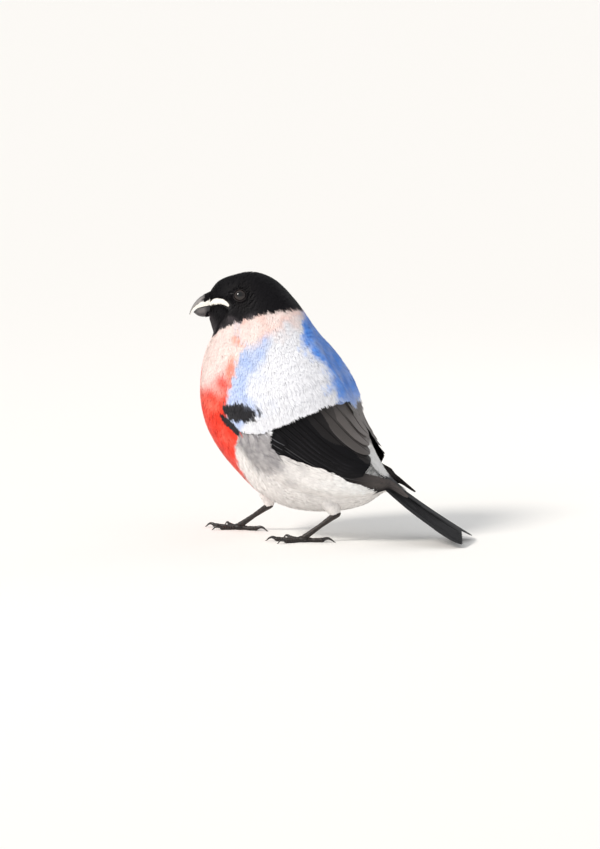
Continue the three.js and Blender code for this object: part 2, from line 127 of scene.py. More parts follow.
def headTurned(x, y, z, share=1):
    # the point turned about the neck's axis by this share of the head's turn
    angle = math.radians(body["headTurn"]) * share
    ahead = x - body["headPivot"]
    return np.stack([
        body["headPivot"] + ahead * np.cos(angle) - y * np.sin(angle),
        ahead * np.sin(angle) + y * np.cos(angle),
        z,
    ], -1)


def bodyPoint(t, phi):
    # The rings' values follow a smooth curve in t. A section is a rounded oval: its centre plus the half
    # height times cos phi and the half width times sin phi, each to a power; then the head is turned. phi is
    # in degrees from the back, minus on the bird's left.
    t, phi = np.broadcast_arrays(np.asarray(t, float), np.radians(phi))
    ring = curveThrough(body["rings"], t)
    back, belly, half = ring[..., 0:2], ring[..., 2:4], ring[..., 4]
    power = 2 / body["sectionPower"]
    upward = np.sign(np.cos(phi)) * np.abs(np.cos(phi)) ** power
    sideways = np.sign(np.sin(phi)) * np.abs(np.sin(phi)) ** power
    xz = (back + belly) / 2 + (back - belly) / 2 * upward[..., None]
    turned, straight = body["neckRings"]
    return headTurned(xz[..., 0], half * sideways, xz[..., 1], smooth(straight, turned, t))


def surfaceFrame(pointOf, t, phi, stepT=0.04, stepPhi=2.0):
    # The unit directions along and around a surface and out of it, with the mm per ring and per degree.
    along = (pointOf(t + stepT, phi) - pointOf(t - stepT, phi)) / (2 * stepT)
    around = (pointOf(t, phi + stepPhi) - pointOf(t, phi - stepPhi)) / (2 * stepPhi)
    out = unit(np.cross(along, around))
    return unit(along), unit(around), out, np.linalg.norm(along, axis=-1), np.linalg.norm(around, axis=-1)


def raised(pointOf, t, phi, height):
    # the point this far above the surface
    out = surfaceFrame(pointOf, t, phi)[2]
    return pointOf(t, phi) + out * np.asarray(height)[..., None]


shoulder = {
    # how far the small coverts stand off the body, by ring, and how that fades towards back and belly
    "ring": [5.9, 6.3, 6.7, 7.2, 8.0, 8.6, 9.1, 9.5],
    "height": [0.0, 0.7, 2.0, 3.0, 3.3, 2.9, 2.5, 0.0],
    "backFade": (6, 24), "bellyFade": (124, 98),
    # degrees from the back, and the ring that the tips of the great coverts reach there
    "end": [[20, 8.68], [40, 8.56], [60, 8.46], [80, 8.38], [95, 8.28], [104, 8.06], [114, 7.74]],
}

flank = {
    # feathers of the flank lie over the wing's lower edge: how far they stand off the body, by ring
    "ring": [8.1, 8.5, 9.0, 9.5, 10.0, 10.5, 11.0, 11.6, 12.1, 12.6, 13.1],
    "height": [2.7, 2.9, 2.9, 2.6, 2.5, 2.9, 3.1, 3.0, 2.7, 2.1, 1.4],
    "frontFade": (7.8, 8.3), "rearFade": (13.7, 12.9),  # rings
    "backFade": (50, 66), "bellyFade": (18, -2),  # degrees from the back, and degrees past the wing's edge
    # ring and degrees: the wing's lower and upper edge, and how far up the flank's feathers reach
    "wingEdge": [[8, 112], [9, 108], [9.5, 103], [10, 99], [10.5, 96], [11, 92], [12, 86], [13, 80]],
    "wingTop": [[8.1, 30], [8.5, 20], [9.0, 14], [9.6, 15], [10.3, 32], [11.0, 50], [12.6, 66]],
    "reach": [[7.7, 113], [8.15, 94], [8.5, 94], [8.95, 100], [9.3, 95], [9.65, 90], [10.0, 85], [10.35, 81],
              [10.7, 77], [11.1, 74], [11.6, 72], [12.1, 73], [12.6, 76], [13.1, 84]],
    "lie": 22,  # degrees, upwards
}


def overTable(table, x):
    # a table's second column at the values x of its first
    return np.interp(x, *np.array(table).T)


def degreesRound(phi):
    # degrees from the back on either side
    return np.abs((np.asarray(phi) + 180) % 360 - 180)


def coverHeight(t, phi):
    # How far the folded wing lifts the small feathers that lie over it.
    around = degreesRound(phi)
    shown = smooth(*shoulder["backFade"], around) * smooth(*shoulder["bellyFade"], around)
    return np.interp(t, shoulder["ring"], shoulder["height"]) * shown


def coverEnd(phi):
    # the ring that the tips of the great coverts reach
    return overTable(shoulder["end"], degreesRound(phi))


def flankHeight(t, phi):
    # How far the wing's lower edge lifts the feathers of the flank, fading out below it.
    around = degreesRound(phi)
    past = around - overTable(flank["wingEdge"], t)
    shown = smooth(*flank["frontFade"], t) * smooth(*flank["rearFade"], t) * smooth(*flank["bellyFade"], past)
    return np.interp(t, flank["ring"], flank["height"]) * shown * smooth(*flank["backFade"], around)


def plumeHeight(t, phi):
    return np.maximum(coverHeight(t, phi), flankHeight(t, phi))


def coatDepth(t):
    # from the skin to the tips of the coat: short on the face, long on breast, belly and back
    return np.interp(t, [0, 1, 3, 5, 7, 11, 13, 14], [0.5, 0.65, 0.95, 1.35, 1.7, 1.8, 1.3, 0.9])


# Markings, the same on skin and coat

plumage = {
    "cap": "#0D0B0F",
    "bib": "#454043",
    # near-white of the gape: partly the pale skin there, partly a painted highlight
    "gape": "#F6F1E8",
    "collar": "#FDE9E3",
    "blotch": "#FBA285",
    "breast": "#F8391E",
    "breastPale": "#FF8069",
    "mantleDeep": "#4C92EE",
    "mantlePale": "#BDCFF5",
    # white over the shoulder: partly the pale wing bar, partly a painted highlight
    "shoulderWhiteAndHighlight": "#EFF0F5",
    "hook": "#1B1A1F",
    "flank": "#868387",
    "belly": "#F9F5F2",
    "lowerBack": "#7E7976",
    "rump": "#FDFCFA",
    "covertTips": "#131217",
    "flight": "#09080C",
    "flightEdge": "#302E34",
    # grey of the tertials: a painted sheen, the light that black vanes reflect at a grazing angle
    "tertial": "#7D7774",
    "wingTip": "#5A5452",
}
paint = {name: linear(value) for name, value in plumage.items()}

edges = {
    # degrees from the back and the ring there: the cap's lower edge and the collar's
    "cap": [[0, 5.45], [18, 5.33], [34, 5.15], [47, 4.98], [61, 4.72], [73, 4.52], [86, 4.2], [102, 3.65],
            [130, 3.0], [156, 2.45], [180, 2.3]],
    "collar": [[0, 5.5], [14, 5.52], [41, 5.6], [59, 5.65], [71, 5.5], [80, 5.3], [95, 5.0]],
    # the same, where the blue ends
    "blue": [[0, 8.95], [14, 8.98], [22, 8.8], [34, 8.66], [80, 8.52], [95, 8.4], [104, 8.16], [114, 7.84],
             [125, 7.7]],
    # ring and degrees: the edge of the red, and the inner edges of the deep and the pale blue
    "breast": [[5.0, 88], [5.3, 84], [5.55, 94], [6.08, 100], [6.6, 109], [6.9, 115], [7.3, 119], [7.7, 116],
               [8.05, 113], [8.3, 127], [8.6, 137], [9.0, 145], [9.4, 152], [9.8, 161], [10.4, 170],
               [11.4, 180]],
    "deep": [[5.4, 8], [5.8, 17], [6.1, 25], [6.4, 33], [6.8, 32], [7.3, 25], [7.6, 28], [8.0, 33], [8.5, 31],
             [9.0, 20]],
    "pale": [[5.4, 62], [5.8, 66], [6.05, 75], [6.45, 84], [7.1, 88], [8.4, 90]],
    # the line of the mouth, running back from the bill: ring and degrees
    "gape": [[0.0, 84], [0.7, 81], [1.5, 81.5], [2.5, 86]],
}

spots = {
    # ring and degrees of the centre and half the size, and the lean: rings a degree, and degrees a ring
    "throatUpper": {"centre": (5.0, 86), "size": (0.36, 12), "lean": (0.036, 0)},
    "throatLower": {"centre": (5.75, 101), "size": (0.5, 7), "lean": (0, 0)},
    "whitePatch": {"centre": (8.0, 99), "size": (0.36, 13), "lean": (0, 0)},
    "hook": {"centre": (7.297, 106), "size": (0.38, 15), "lean": (0.023, 0)},
    "stroke": {"centre": (7.55, 118.525), "size": (0.56, 4.4), "lean": (0, 10.5)},
}


def gapeDistance(t, phi):
    # mm from the pale line of the mouth, by the degrees across it
    line = np.array(edges["gape"])
    across = np.abs(degreesRound(phi) - overTable(edges["gape"], t))
    return across * 0.16 + 4.0 * np.maximum(0, t - line[-1, 0])


def spotDistance(name, t, around):
    # the distance from a spot's centre, in shares of its size
    centre, size, lean = spots[name]["centre"], spots[name]["size"], spots[name]["lean"]
    ring, turn = t - centre[0], around - centre[1]
    return np.hypot((ring + lean[0] * turn) / size[0], (turn + lean[1] * ring) / size[1])


def breastColour(t, around, fine, broad, wide):
    # pale at the throat, with spots of orange, then red, with a red line down the middle, paler on the belly
    spot = np.minimum(spotDistance("throatUpper", t, around), spotDistance("throatLower", t, around))
    throat = blend(paint["collar"], paint["blotch"], 0.8 * smooth(1.2, 0.4, spot + 0.2 * broad))
    line = smooth(152, 170, around + 4 * broad) * smooth(3.4, 4.6, t)
    throat = blend(throat, paint["breast"], 0.75 * line)
    deepness = 0.62 + 0.28 * broad + 0.12 * fine + 0.25 * smooth(6, 7.5, t)
    red = blend(paint["breastPale"], paint["breast"], np.clip(deepness, 0, 1))
    below = t + 0.2 * broad + 0.2 * wide + 0.01 * (around - 125) + 0.75 * smooth(146, 172, around)
    return blend(blend(throat, red, smooth(5.0, 6.5, below)), paint["belly"],
                 0.95 * smooth(8.9, 11.0, t + 0.3 * broad))


def backColour(t, around, fine, broad, wide):
    # white in the middle of the shoulder, partly the pale wing bar and partly a painted highlight, pale blue
    # in front of it, deep blue down the back
    front = smooth(-9, 9, around + 5 * wide + 3 * broad - overTable(edges["pale"], t))
    colour = blend(paint["shoulderWhiteAndHighlight"], paint["mantlePale"], front * (0.85 + 0.15 * broad))
    patch = smooth(1.2, 0.6, spotDistance("whitePatch", t, around) + 0.1 * broad)
    # the white patch by the coverts' line: partly the pale wing bar, partly a painted highlight
    colour = blend(colour, paint["shoulderWhiteAndHighlight"], patch)
    inside = overTable(edges["deep"], t) - around + 3.5 * broad + 1.8 * fine
    colour = blend(colour, paint["mantlePale"], smooth(-7, 0, inside))
    strength = (0.82 + 0.2 * broad + 0.08 * fine) * (1 - 0.75 * smooth(8.3, 8.9, t + 0.15 * broad))
    return blend(colour, paint["mantleDeep"], smooth(-2.5, 5, inside) * np.clip(strength, 0, 1))


def capColour(around, above, broad):
    # black, with a bib that thins to a grey wash over the cheek's lower edge
    cheek = smooth(0.5, 0.05, above + 0.2 * broad) * smooth(58, 72, around) * smooth(122, 104, around)
    chin = 0.75 * smooth(104, 140, around + 6 * broad)
    return blend(paint["cap"], paint["bib"], np.maximum(cheek, chin))


def markings(t, phi, places):
    # The colour at each ring and angle: washes laid over one another, their edges broken up by noise.
    around = degreesRound(phi)
    noise = [mottle(places, size, seed) for size, seed in ((2.6, 3), (8, 5), (16, 7))]
    fine, broad, _ = noise
    pastBlue = t + 0.05 * fine + 0.14 * broad * smooth(26, 12, around) - overTable(edges["blue"], around)
    colour = np.broadcast_to(paint["belly"], t.shape + (3,))

    def wash(name, share):
        return blend(colour, paint[name], share)

    grey = smooth(-0.14, 0.1, pastBlue) * smooth(10.6, 8.9, t + 0.25 * broad)
    colour = wash("flank", grey * smooth(137, 112, around + 5 * broad) * (0.8 + 0.12 * fine))
    red = smooth(-3.5, 4.5, around + 2.2 * fine + 1.5 * broad - overTable(edges["breast"], t))
    colour = blend(colour, breastColour(t, around, *noise), red * smooth(11.8, 11.0, t))
    colour = blend(colour, backColour(t, around, *noise), (1 - red) * smooth(0.14, -0.14, pastBlue))
    lower = smooth(-0.14, 0.14, pastBlue) * smooth(11.1, 10.5, t + 0.15 * broad)
    colour = wash("lowerBack", lower * smooth(70, 50, around))
    colour = wash("rump", smooth(10.6, 11.1, t + 0.15 * broad) * smooth(100, 70, around))
    colour = wash("covertTips", smooth(13.2, 13.5, t + 0.1 * fine) * smooth(110, 95, around))
    collar = smooth(0.34, -0.24, t - overTable(edges["collar"], around) + 0.14 * broad + 0.05 * fine)
    pink = blend(paint["collar"], paint["blotch"], np.clip(0.1 + 0.14 * broad, 0, 1))
    colour = blend(colour, pink, collar * (1 - red))
    hook = spotDistance("hook", t, around) + 0.14 * fine + 0.1 * broad
    stroke = spotDistance("stroke", t, around) + 0.1 * fine
    thin = 1 - 0.35 * smooth(101, 93, around) * smooth(7.5, 7.1, t)
    colour = wash("hook", smooth(1.12, 0.86, np.minimum(hook, stroke)) * thin)
    above = overTable(edges["cap"], around) - t + 0.05 * fine
    colour = blend(colour, capColour(around, above, broad), smooth(-0.05, 0.06, above))
    return colour * (1 + 0.035 * fine)[..., None]


# Meshes from arrays

def makeMesh(name, points, faces, tint, material, maps=None, rim=None):
    # points in mm; faces is a list of arrays with three or four corners a row; maps gives a UV per vertex;
    # edges that fold by more than rim degrees are shaded as sharp ones
    corners = np.concatenate([f.ravel() for f in faces]).astype(np.int32)
    sizes = np.concatenate([np.full(len(f), f.shape[1]) for f in faces])
    mesh = bpy.data.meshes.new(name)
    mesh.vertices.add(len(points))
    mesh.vertices.foreach_set("co", (points * millimetre).astype(np.float32).ravel())
    mesh.loops.add(len(corners))
    mesh.loops.foreach_set("vertex_index", corners)
    mesh.polygons.add(len(sizes))
    mesh.polygons.foreach_set("loop_start", np.concatenate([[0], np.cumsum(sizes)[:-1]]).astype(np.int32))
    for label, uv in (maps or {}).items():
        layer = mesh.uv_layers.new(name=label)
        layer.uv.foreach_set("vector", uv[corners].astype(np.float32).ravel())
    layer = mesh.color_attributes.new("tint", "FLOAT_COLOR", "POINT")
    rgba = np.concatenate([np.clip(tint, 0, 1), np.ones((len(points), 1))], 1)
    layer.data.foreach_set("color", rgba.astype(np.float32).ravel())
    mesh.update(calc_edges=True)
    mesh.validate()
    mesh.shade_smooth()
    if rim:
        mesh.set_sharp_from_angle(angle=math.radians(rim))
    mesh.materials.append(material)
    piece = bpy.data.objects.new(name, mesh)
    bpy.context.scene.collection.objects.link(piece)
    return piece


def gridFaces(numbers, wrap=False):
    # the quads between neighbouring rows and columns of a grid of vertex numbers
    if wrap:
        numbers = np.concatenate([numbers, numbers[:, :1]], 1)
    a, b, c, d = numbers[:-1, :-1], numbers[:-1, 1:], numbers[1:, 1:], numbers[1:, :-1]
    return np.stack([a, b, c, d], -1).reshape(-1, 4)


def closedLoft(rings, tint):
    # A surface through rings of points, closed at both ends by a fan to the ring's middle. tint is one colour
    # or one for each point. Gives points, faces that look outwards, and tint.
    rows, count = rings.shape[:2]
    numbers = np.arange(rows * count).reshape(rows, count)
    points, tints = (
        np.concatenate([grid.reshape(-1, 3), grid[:1].mean(1), grid[-1:].mean(1)])
        for grid in (rings, np.broadcast_to(tint, rings.shape))
    )
    first, last = numbers[0], numbers[-1]
    caps = [
        np.stack([np.roll(first, -1), first, np.full(count, rows * count)], -1),
        np.stack([last, np.roll(last, -1), np.full(count, rows * count + 1)], -1),
    ]
    return points, pointingOut(points, [gridFaces(numbers, wrap=True), *caps]), tints


def pointingOut(points, faces):
    # turns every face round if the closed mesh has a negative volume
    volume = 0.0
    for f in faces:
        for k in range(1, f.shape[1] - 1):
            a, b, c = points[f[:, 0]], points[f[:, k]], points[f[:, k + 1]]
            volume += np.einsum("ij,ij->i", a, np.cross(b, c)).sum()
    return faces if volume > 0 else [f[:, ::-1] for f in faces]


def together(parts):
    # several (points, faces, tint) as one
    points, faces, tints, start = [], [], [], 0
    for p, f, tint in parts:
        points.append(p)
        tints.append(np.broadcast_to(tint, p.shape))
        faces += [rows + start for rows in f]
        start += len(p)
    return np.concatenate(points), faces, np.concatenate(tints)


def tubeRings(centres, radii, sides=16, hint=(0, 0, 1), flatten=1.0):
    # Circles of the given radii, square to a path of centres; flatten scales them in the hint's direction.
    ahead = unit(np.gradient(centres, axis=0))
    across = unit(np.cross(np.broadcast_to(hint, ahead.shape), ahead))
    up = np.cross(ahead, across)
    angle = np.linspace(0, 2 * math.pi, sides, endpoint=False)
    ring = across[:, None] * np.cos(angle)[:, None] + up[:, None] * np.sin(angle)[:, None] * flatten
    return centres[:, None] + ring * np.asarray(radii)[:, None, None]


# Materials

def addNode(tree, kind, values=(), links=(), **settings):
    # a shader node with its own settings, the values of its sockets and what is linked into them
    node = tree.nodes.new("ShaderNode" + kind)
    for name, value in settings.items():
        setattr(node, name, value)
    for socket, value in dict(values).items():
        node.inputs[socket].default_value = value
    for socket, source in dict(links).items():
        tree.links.new(source, node.inputs[socket])
    return node


def newMaterial(name, constants):
    # a material with its shader's unlinked values set, and its tree ready for more nodes
    material = bpy.data.materials.new(name)
    material.use_nodes = True
    shader = material.node_tree.nodes["Principled BSDF"]
    for socket, value in constants.items():
        shader.inputs[socket].default_value = value
    return material, material.node_tree, shader


def tintBy(tree, shader, pattern, shades, strength, depth):
    # The piece's own tint times a pattern that runs from one shade to another, and the pattern's bump, with
    # its depth in mm.
    tint = addNode(tree, "Attribute", attribute_name="tint")
    shade = addNode(tree, "MapRange", {"To Min": shades[0], "To Max": shades[1]}, {"Value": pattern})
    varied = addNode(tree, "VectorMath", (), {0: tint.outputs["Color"], 1: shade.outputs["Result"]},
                     operation="MULTIPLY")
    tree.links.new(varied.outputs["Vector"], shader.inputs["Base Color"])
    if depth:
        relief = addNode(tree, "Bump", {"Strength": strength, "Distance": depth * millimetre},
                         {"Height": pattern})
        tree.links.new(relief.outputs["Normal"], shader.inputs["Normal"])


def grainedMaterial(name, grain, constants, depth=0, shades=(0.8, 1.2), detail=4.0):
    # a finish varied by noise with a grain of this size and a bump of this depth, in mm
    material, tree, shader = newMaterial(name, constants)
    place = addNode(tree, "TexCoord")
    noise = addNode(tree, "TexNoise", {"Scale": 1 / (grain * millimetre), "Detail": detail},
                    {"Vector": place.outputs["Object"]})
    tintBy(tree, shader, noise.outputs["Fac"], shades, 0.5, depth)
    return material


def plumageMaterial(name, constants):
    # Contour feathers: loose, unhooked barbs of keratin, matt, with faint streaks.
    return grainedMaterial(name, 1.111, constants, shades=(0.9, 1.1), detail=3.0)


def vaneMaterial(name, constants):
    # Flight feathers: barbs zipped into firm vanes, dark with a gloss. The map is in mm along the shaft, and
    # at a scale of 1 the wave repeats after 0.31, which is the real distance between barbs.
    material, tree, shader = newMaterial(name, constants)
    place = addNode(tree, "UVMap", uv_map="barbs")
    wave = addNode(tree, "TexWave", {"Scale": 1.0, "Distortion": 0.6, "Detail": 1.0},
                   {"Vector": place.outputs["UV"]}, wave_type="BANDS", bands_direction="X")
    tintBy(tree, shader, wave.outputs["Fac"], (0.8, 1.15), 0.35, 0.06)
    return material


# pale and coloured plumage has a velvet edge; black plumage is denser, with a low silky shine
softPlumage = plumageMaterial("softPlumage", {
    "Roughness": 0.66, "Specular IOR Level": 0.25, "Sheen Weight": 0.2, "Sheen Roughness": 0.5})
blackPlumage = plumageMaterial("blackPlumage", {"Roughness": 0.52, "Specular IOR Level": 0.17})
flightPlumage = vaneMaterial("flightPlumage", {"Roughness": 0.48, "Specular IOR Level": 0.16})
# bare skin under the coat and on the lids: matt, finely wrinkled
bareSkin = grainedMaterial("bareSkin", 0.5, {"Roughness": 0.6, "Specular IOR Level": 0.35}, 0.05)
# the horn sheath of the bill: grown, rubbed smooth, with a dull shine
billHorn = grainedMaterial("billHorn", 0.9, {
    "Roughness": 0.34, "Specular IOR Level": 0.5, "Coat Weight": 0.15, "Coat Roughness": 0.25}, 0.04)
# the wet cornea over a dark brown iris: almost a mirror
wetEye = grainedMaterial("wetEye", 0.3, {
    "Roughness": 0.05, "Specular IOR Level": 0.45, "Coat Weight": 0.3, "Coat Roughness": 0.01})
# horny scales of the legs: dry, with a low shine
legScales = grainedMaterial("legScales", 0.6, {"Roughness": 0.48, "Specular IOR Level": 0.45}, 0.06)
# claws: denser, smoother horn
clawHorn = grainedMaterial("clawHorn", 0.7, {
    "Roughness": 0.28, "Specular IOR Level": 0.5, "Coat Weight": 0.2, "Coat Roughness": 0.15}, 0.02)


# Eyes: place and size, used by the coat as well

eye = {
    "ring": 3.0, "around": 66, "radius": 3.0, "sunk": 2.05,
    "pupil": 1.25, "iris": 2.35, "bulge": 0.22, "bulgeWidth": 0.55,
    "rows": 40, "columns": 48, "fibres": 23,
    "lidOuter": 3.5, "lidRim": 2.36, "lidBeads": 34, "bare": 2.95, "lidSteps": 14, "lidCount": 68,
    "pupilColour": "#050405", "irisColour": "#1F110B", "rimColour": "#0C0908", "lidColour": "#242022",
}


def eyePlace(side):
    # the point on the body over the eye, and the direction that it looks in
    t, phi = np.array(eye["ring"]), np.array(side * eye["around"], float)
    return bodyPoint(t, phi), surfaceFrame(bodyPoint, t, phi)[2]


def aroundAxis(centre, axis, radius, height, count):
    # Rings round an axis: each has a radius and a height along it, with the first direction upwards.
    up = unit(np.array([0, 0, 1]) - axis * axis[2])
    across = np.cross(axis, up)
    angle = np.linspace(0, 2 * math.pi, count, endpoint=False)[:, None]
    circle = up * np.cos(angle) + across * np.sin(angle)
    return centre + circle * radius[..., None] + axis * height[..., None]


def makeEye(name, side):
    # A ball turned round its axis: a sphere whose front swells a little, as the cornea does.
    top, axis = eyePlace(side)
    polar = np.linspace(0.02, math.pi - 0.02, eye["rows"])[:, None]
    swell = eye["radius"] + eye["bulge"] * np.exp(-(polar / eye["bulgeWidth"]) ** 2)
    radius, height = swell * np.sin(polar), swell * np.cos(polar)
    rings = aroundAxis(top - axis * eye["sunk"], axis, radius, height, eye["columns"])
    angle = np.linspace(0, 2 * math.pi, eye["columns"], endpoint=False)[:, None]
    iris = linear(eye["irisColour"]) * (1 + 0.25 * np.sin(angle * eye["fibres"]))
    tint = blend(linear(eye["pupilColour"]), iris, smooth(eye["pupil"] - 0.08, eye["pupil"] + 0.08, radius))
    tint = blend(tint, linear(eye["rimColour"]), smooth(eye["iris"] - 0.25, eye["iris"], radius))
    piece = makeMesh("eyeball_" + name, *closedLoft(rings, tint), wetEye)
    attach(piece, "root")
    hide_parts("eye_" + name)


for name, side in sides.items():
    makeEye(name, side)
print("eyes made")


# Skin: one closed surface under the coat, with the lids and the corners of the mouth

skin = {
    "rows": 170, "columns": 112, "shade": 0.9,
    "lift": 0.8,  # of the feathers' lift over the wing
    "gapeHalf": [0.9, 1.4, 1.25, 0.4], "gapeFlat": 0.4, "gapeSunk": 0.66,
}


def skinHeight(t, phi):
    # under the coat, and lifted with it where the coat lies over the wing
    past = smooth(0.0, 0.35, t - coverEnd(phi))
    below = smooth(0, 6, degreesRound(phi) - overTable(flank["wingEdge"], t))
    lift = np.maximum(coverHeight(t, phi) * (1 - past), flankHeight(t, phi) * below)
    return skin["lift"] * lift - coatDepth(t)


def skinBody():
    # The body's surface let down by the coat's depth, on a grid in ring and angle. Its markings are darkened
    # as painted shade under the coat.
    t = np.linspace(0, body["lastRing"], skin["rows"])[:, None]
    phi = np.linspace(-180, 180, skin["columns"], endpoint=False)[None]
    t, phi = np.broadcast_arrays(t, phi)
    rings = raised(bodyPoint, t, phi, skinHeight(t, phi))
    return closedLoft(rings, markings(t, phi, rings) * skin["shade"])


def lidRing(side):
    # The two lids: a fold turned round the eye, rising from the skin to a rim that hugs the ball, puckered
    # by fine creases and drawn out a little at its corners.
    top, axis = eyePlace(side)
    centre = top - axis * eye["sunk"]
    share = np.linspace(0, 1, eye["lidSteps"])[:, None]
    angle = np.linspace(0, 2 * math.pi, eye["lidCount"], endpoint=False)[None]
    rim = eye["lidRim"] * (1 + 0.1 * np.abs(np.sin(angle)) ** 6)
    radius = eye["lidOuter"] + (rim - eye["lidOuter"]) * np.sin(share * math.pi / 2)
    ball = np.sqrt(np.maximum(0, (eye["radius"] + 0.16) ** 2 - np.minimum(radius, 3.1) ** 2))
    height = ball + 0.34 * np.sin(share * math.pi * 0.9) - 1.6 * (1 - share) ** 2
    height = height + 0.05 * np.sin(angle * eye["lidBeads"]) * smooth(0.5, 0.95, share)
    height = height + 0.08 * np.sin(share * 15 + 0.7 * np.sin(3 * angle)) * smooth(0.1, 0.4, share)
    radius = np.concatenate([radius, radius[::-1] - 0.12], 0)
    height = np.concatenate([height, height[::-1] - 0.5], 0)
    rings = aroundAxis(centre, axis, radius, height, eye["lidCount"])
    numbers = np.arange(radius.size).reshape(radius.shape)
    closed = np.concatenate([numbers, numbers[:1]], 0)
    points = rings.reshape(-1, 3)
    return points, pointingOut(points - centre, [gridFaces(closed, wrap=True)]), linear(eye["lidColour"])


def gapeFold(side):
    # The pale, swollen corner of the mouth: a flat tube along its line, thinning out backwards. Its
    # near-white is partly the pale skin there and partly a painted highlight.
    share = np.linspace(0, 1, 40)
    t, around = onPath(edges["gape"], share).T
    half = onPath(skin["gapeHalf"], share)[:, None]
    centres = raised(bodyPoint, t, side * around, -skin["gapeSunk"])
    out = surfaceFrame(bodyPoint, t, side * around)[2]
    across = unit(np.cross(np.gradient(centres, axis=0), out))
    angle = np.linspace(0, 2 * math.pi, 24, endpoint=False)[:, None]
    wide = np.cos(angle) * (1 + 0.1 * np.cos(3 * angle))
    rings = across[:, None] * wide + out[:, None] * (np.sin(angle) * skin["gapeFlat"])
    return closedLoft(centres[:, None] + rings * half, paint["gape"])


legs = {
    "left": {"side": -1, "hip": [-1.5, -8, 24], "ankle": [5.4, -9.6, 11.6], "foot": [-7.6, -11.6], "yaw": 6},
    "right": {"side": 1, "hip": [-29.5, 8, 29], "ankle": [-27.4, 8.6, 11.2], "foot": [-40.8, 11.2],
              "yaw": 10},
    # share of the thigh's length and its radius there, and the skin's share of that
    "thigh": [[0, 4.8], [0.35, 4.7], [0.6, 4.2], [0.8, 3.4], [0.93, 2.5], [1, 1.9]],
    "thighSkin": 0.7353,
}


def thighPoint(leg):
    # A cone from the hip to the ankle whose radius follows a few values; phi goes round it.
    hip, ankle = np.array(leg["hip"], float), np.array(leg["ankle"], float)
    across = unit(np.cross(ankle - hip, [1, 0, 0]))
    forward = np.cross(across, unit(ankle - hip))

    def pointOf(t, phi):
        t, phi = np.broadcast_arrays(np.asarray(t, float), np.radians(phi))
        ring = forward * np.cos(phi)[..., None] - across * np.sin(phi)[..., None]
        return hip + (ankle - hip) * t[..., None] + ring * overTable(legs["thigh"], t)[..., None]

    return pointOf


def thighSkin(leg):
    t = np.linspace(0, 1.0, 30)[:, None]
    phi = np.linspace(-180, 180, 32, endpoint=False)[None]
    rings = thighPoint(leg)(t, phi)
    centres = rings.mean(1, keepdims=True)
    # the belly's white, darkened as painted shade under the thigh's feathers
    return closedLoft(centres + (rings - centres) * legs["thighSkin"], paint["belly"] * 0.8)


parts = [skinBody()]
for name, side in sides.items():
    parts += [lidRing(side), gapeFold(side), thighSkin(legs[name])]
birdSkin = makeMesh("skin", *together(parts), bareSkin)
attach(birdSkin, "root")
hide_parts("head", "neck", "torso", "tail_coverts", "thigh_left", "thigh_right")
print("skin made")


# Coat: every feather is a fan of thin tapered locks, its tip on the body's outline

coat = {
    "seed": 11,
    "locks": 8,
    "stations": np.array([0.0, 0.4, 0.82, 1.0]),
    "spread": np.array([0.3, 0.86, 1.0, 0.97]),  # of the locks from the feather's middle
    "width": np.array([0.75, 1.0, 0.8, 0.0]),  # of a lock
    "rise": np.array([0.0, 0.66, 0.95, 1.0]),  # from the skin to the outline
    # darker towards the root: partly the grey down at a feather's base, partly painted shade deep in the coat
    "shade": np.array([0.84, 0.97, 1.0, 1.02]),
    "overlap": 1.55,  # of neighbouring locks
    "rounded": 0.22,  # how much shorter the outermost locks are
    "long": (0.86, 1.06),  # a lock's length, by chance
    "rooted": 1.15,  # depth of the roots, as a share of the coat's
    "under": 0.08,  # from the tips to the outline
    "uneven": 0.09,  # of the depth, between the locks' tips
    "thick": 0.08,
    "cup": 0.06,  # how far a feather's sides fall, as a share of its half width
    "stray": (3.5, 2.4),  # degrees that feathers, and locks in them, turn from the lie
    "patch": 0.003,  # of the unwrapped skin, for each feather
    "most": 12000,  # locks in one piece
}


def lockFaces():
    # a lock's 16 triangles: three sides between stations, a point at the tip and a closed root
    faces = [[0, 1, 2]]
    for i in (0, 3):
        for left, right in ((0, 1), (1, 2), (2, 0)):
            a, b, c, d = i + left, i + right, i + 3 + right, i + 3 + left
            faces += [[a, d, c], [a, c, b]]
    faces += [[6, 9, 7], [7, 9, 8], [8, 9, 6]]
    return np.array(faces)


def perCorner(values):
    # room for a lock's stations and corners as the last two axes
    return values[..., None, None]


def fanLocks(roots, draw):
    # Where the points of a feather's locks lie, in mm from its root towards the tail and round the body: a
    # length along the lie and an offset across it. Also each lock's place in the fan, from -1 to 1. The axes
    # are feather, lock, station and corner.
    length, half, lie = (roots[key][:, None] for key in ("length", "half", "lie"))
    place = np.linspace(-1, 1, coat["locks"]) + draw.uniform(-0.1, 0.1, (len(length), coat["locks"]))
    long = length * (1 - coat["rounded"] * place**2) * draw.uniform(*coat["long"], place.shape)
    lie = lie + coat["stray"][0] * draw.normal(size=lie.shape)
    lie = perCorner(np.radians(lie + coat["stray"][1] * draw.normal(size=place.shape)))
    lockHalf = perCorner(half * coat["overlap"] / coat["locks"]) * coat["width"][:, None]
    across = perCorner(half * place) * coat["spread"][:, None] + lockHalf * np.array([-1, 0, 1])
    forward = perCorner(long) * coat["stations"][:, None]
    return forward * np.cos(lie) - across * np.sin(lie), forward * np.sin(lie) + across * np.cos(lie), place


def fanHeight(roots, place, draw):
    # A lock rises from its root to just under the outline, with a ridge along it, and the fan's sides fall.
    depth, half, lift = (roots[key][:, None] for key in ("depth", "half", "lift"))
    u = coat["stations"][:, None]
    base = -coat["rooted"] * depth
    tip = -coat["under"] - coat["uneven"] * depth * draw.random(place.shape) + lift
    height = perCorner(base + 0 * tip) + perCorner(tip - base) * coat["rise"][:, None]
    height = height - perCorner(coat["cup"] * half * place**2) * u
    return height + coat["thick"] * (1.3 - u) * np.array([-0.5, 0.5, -0.5])


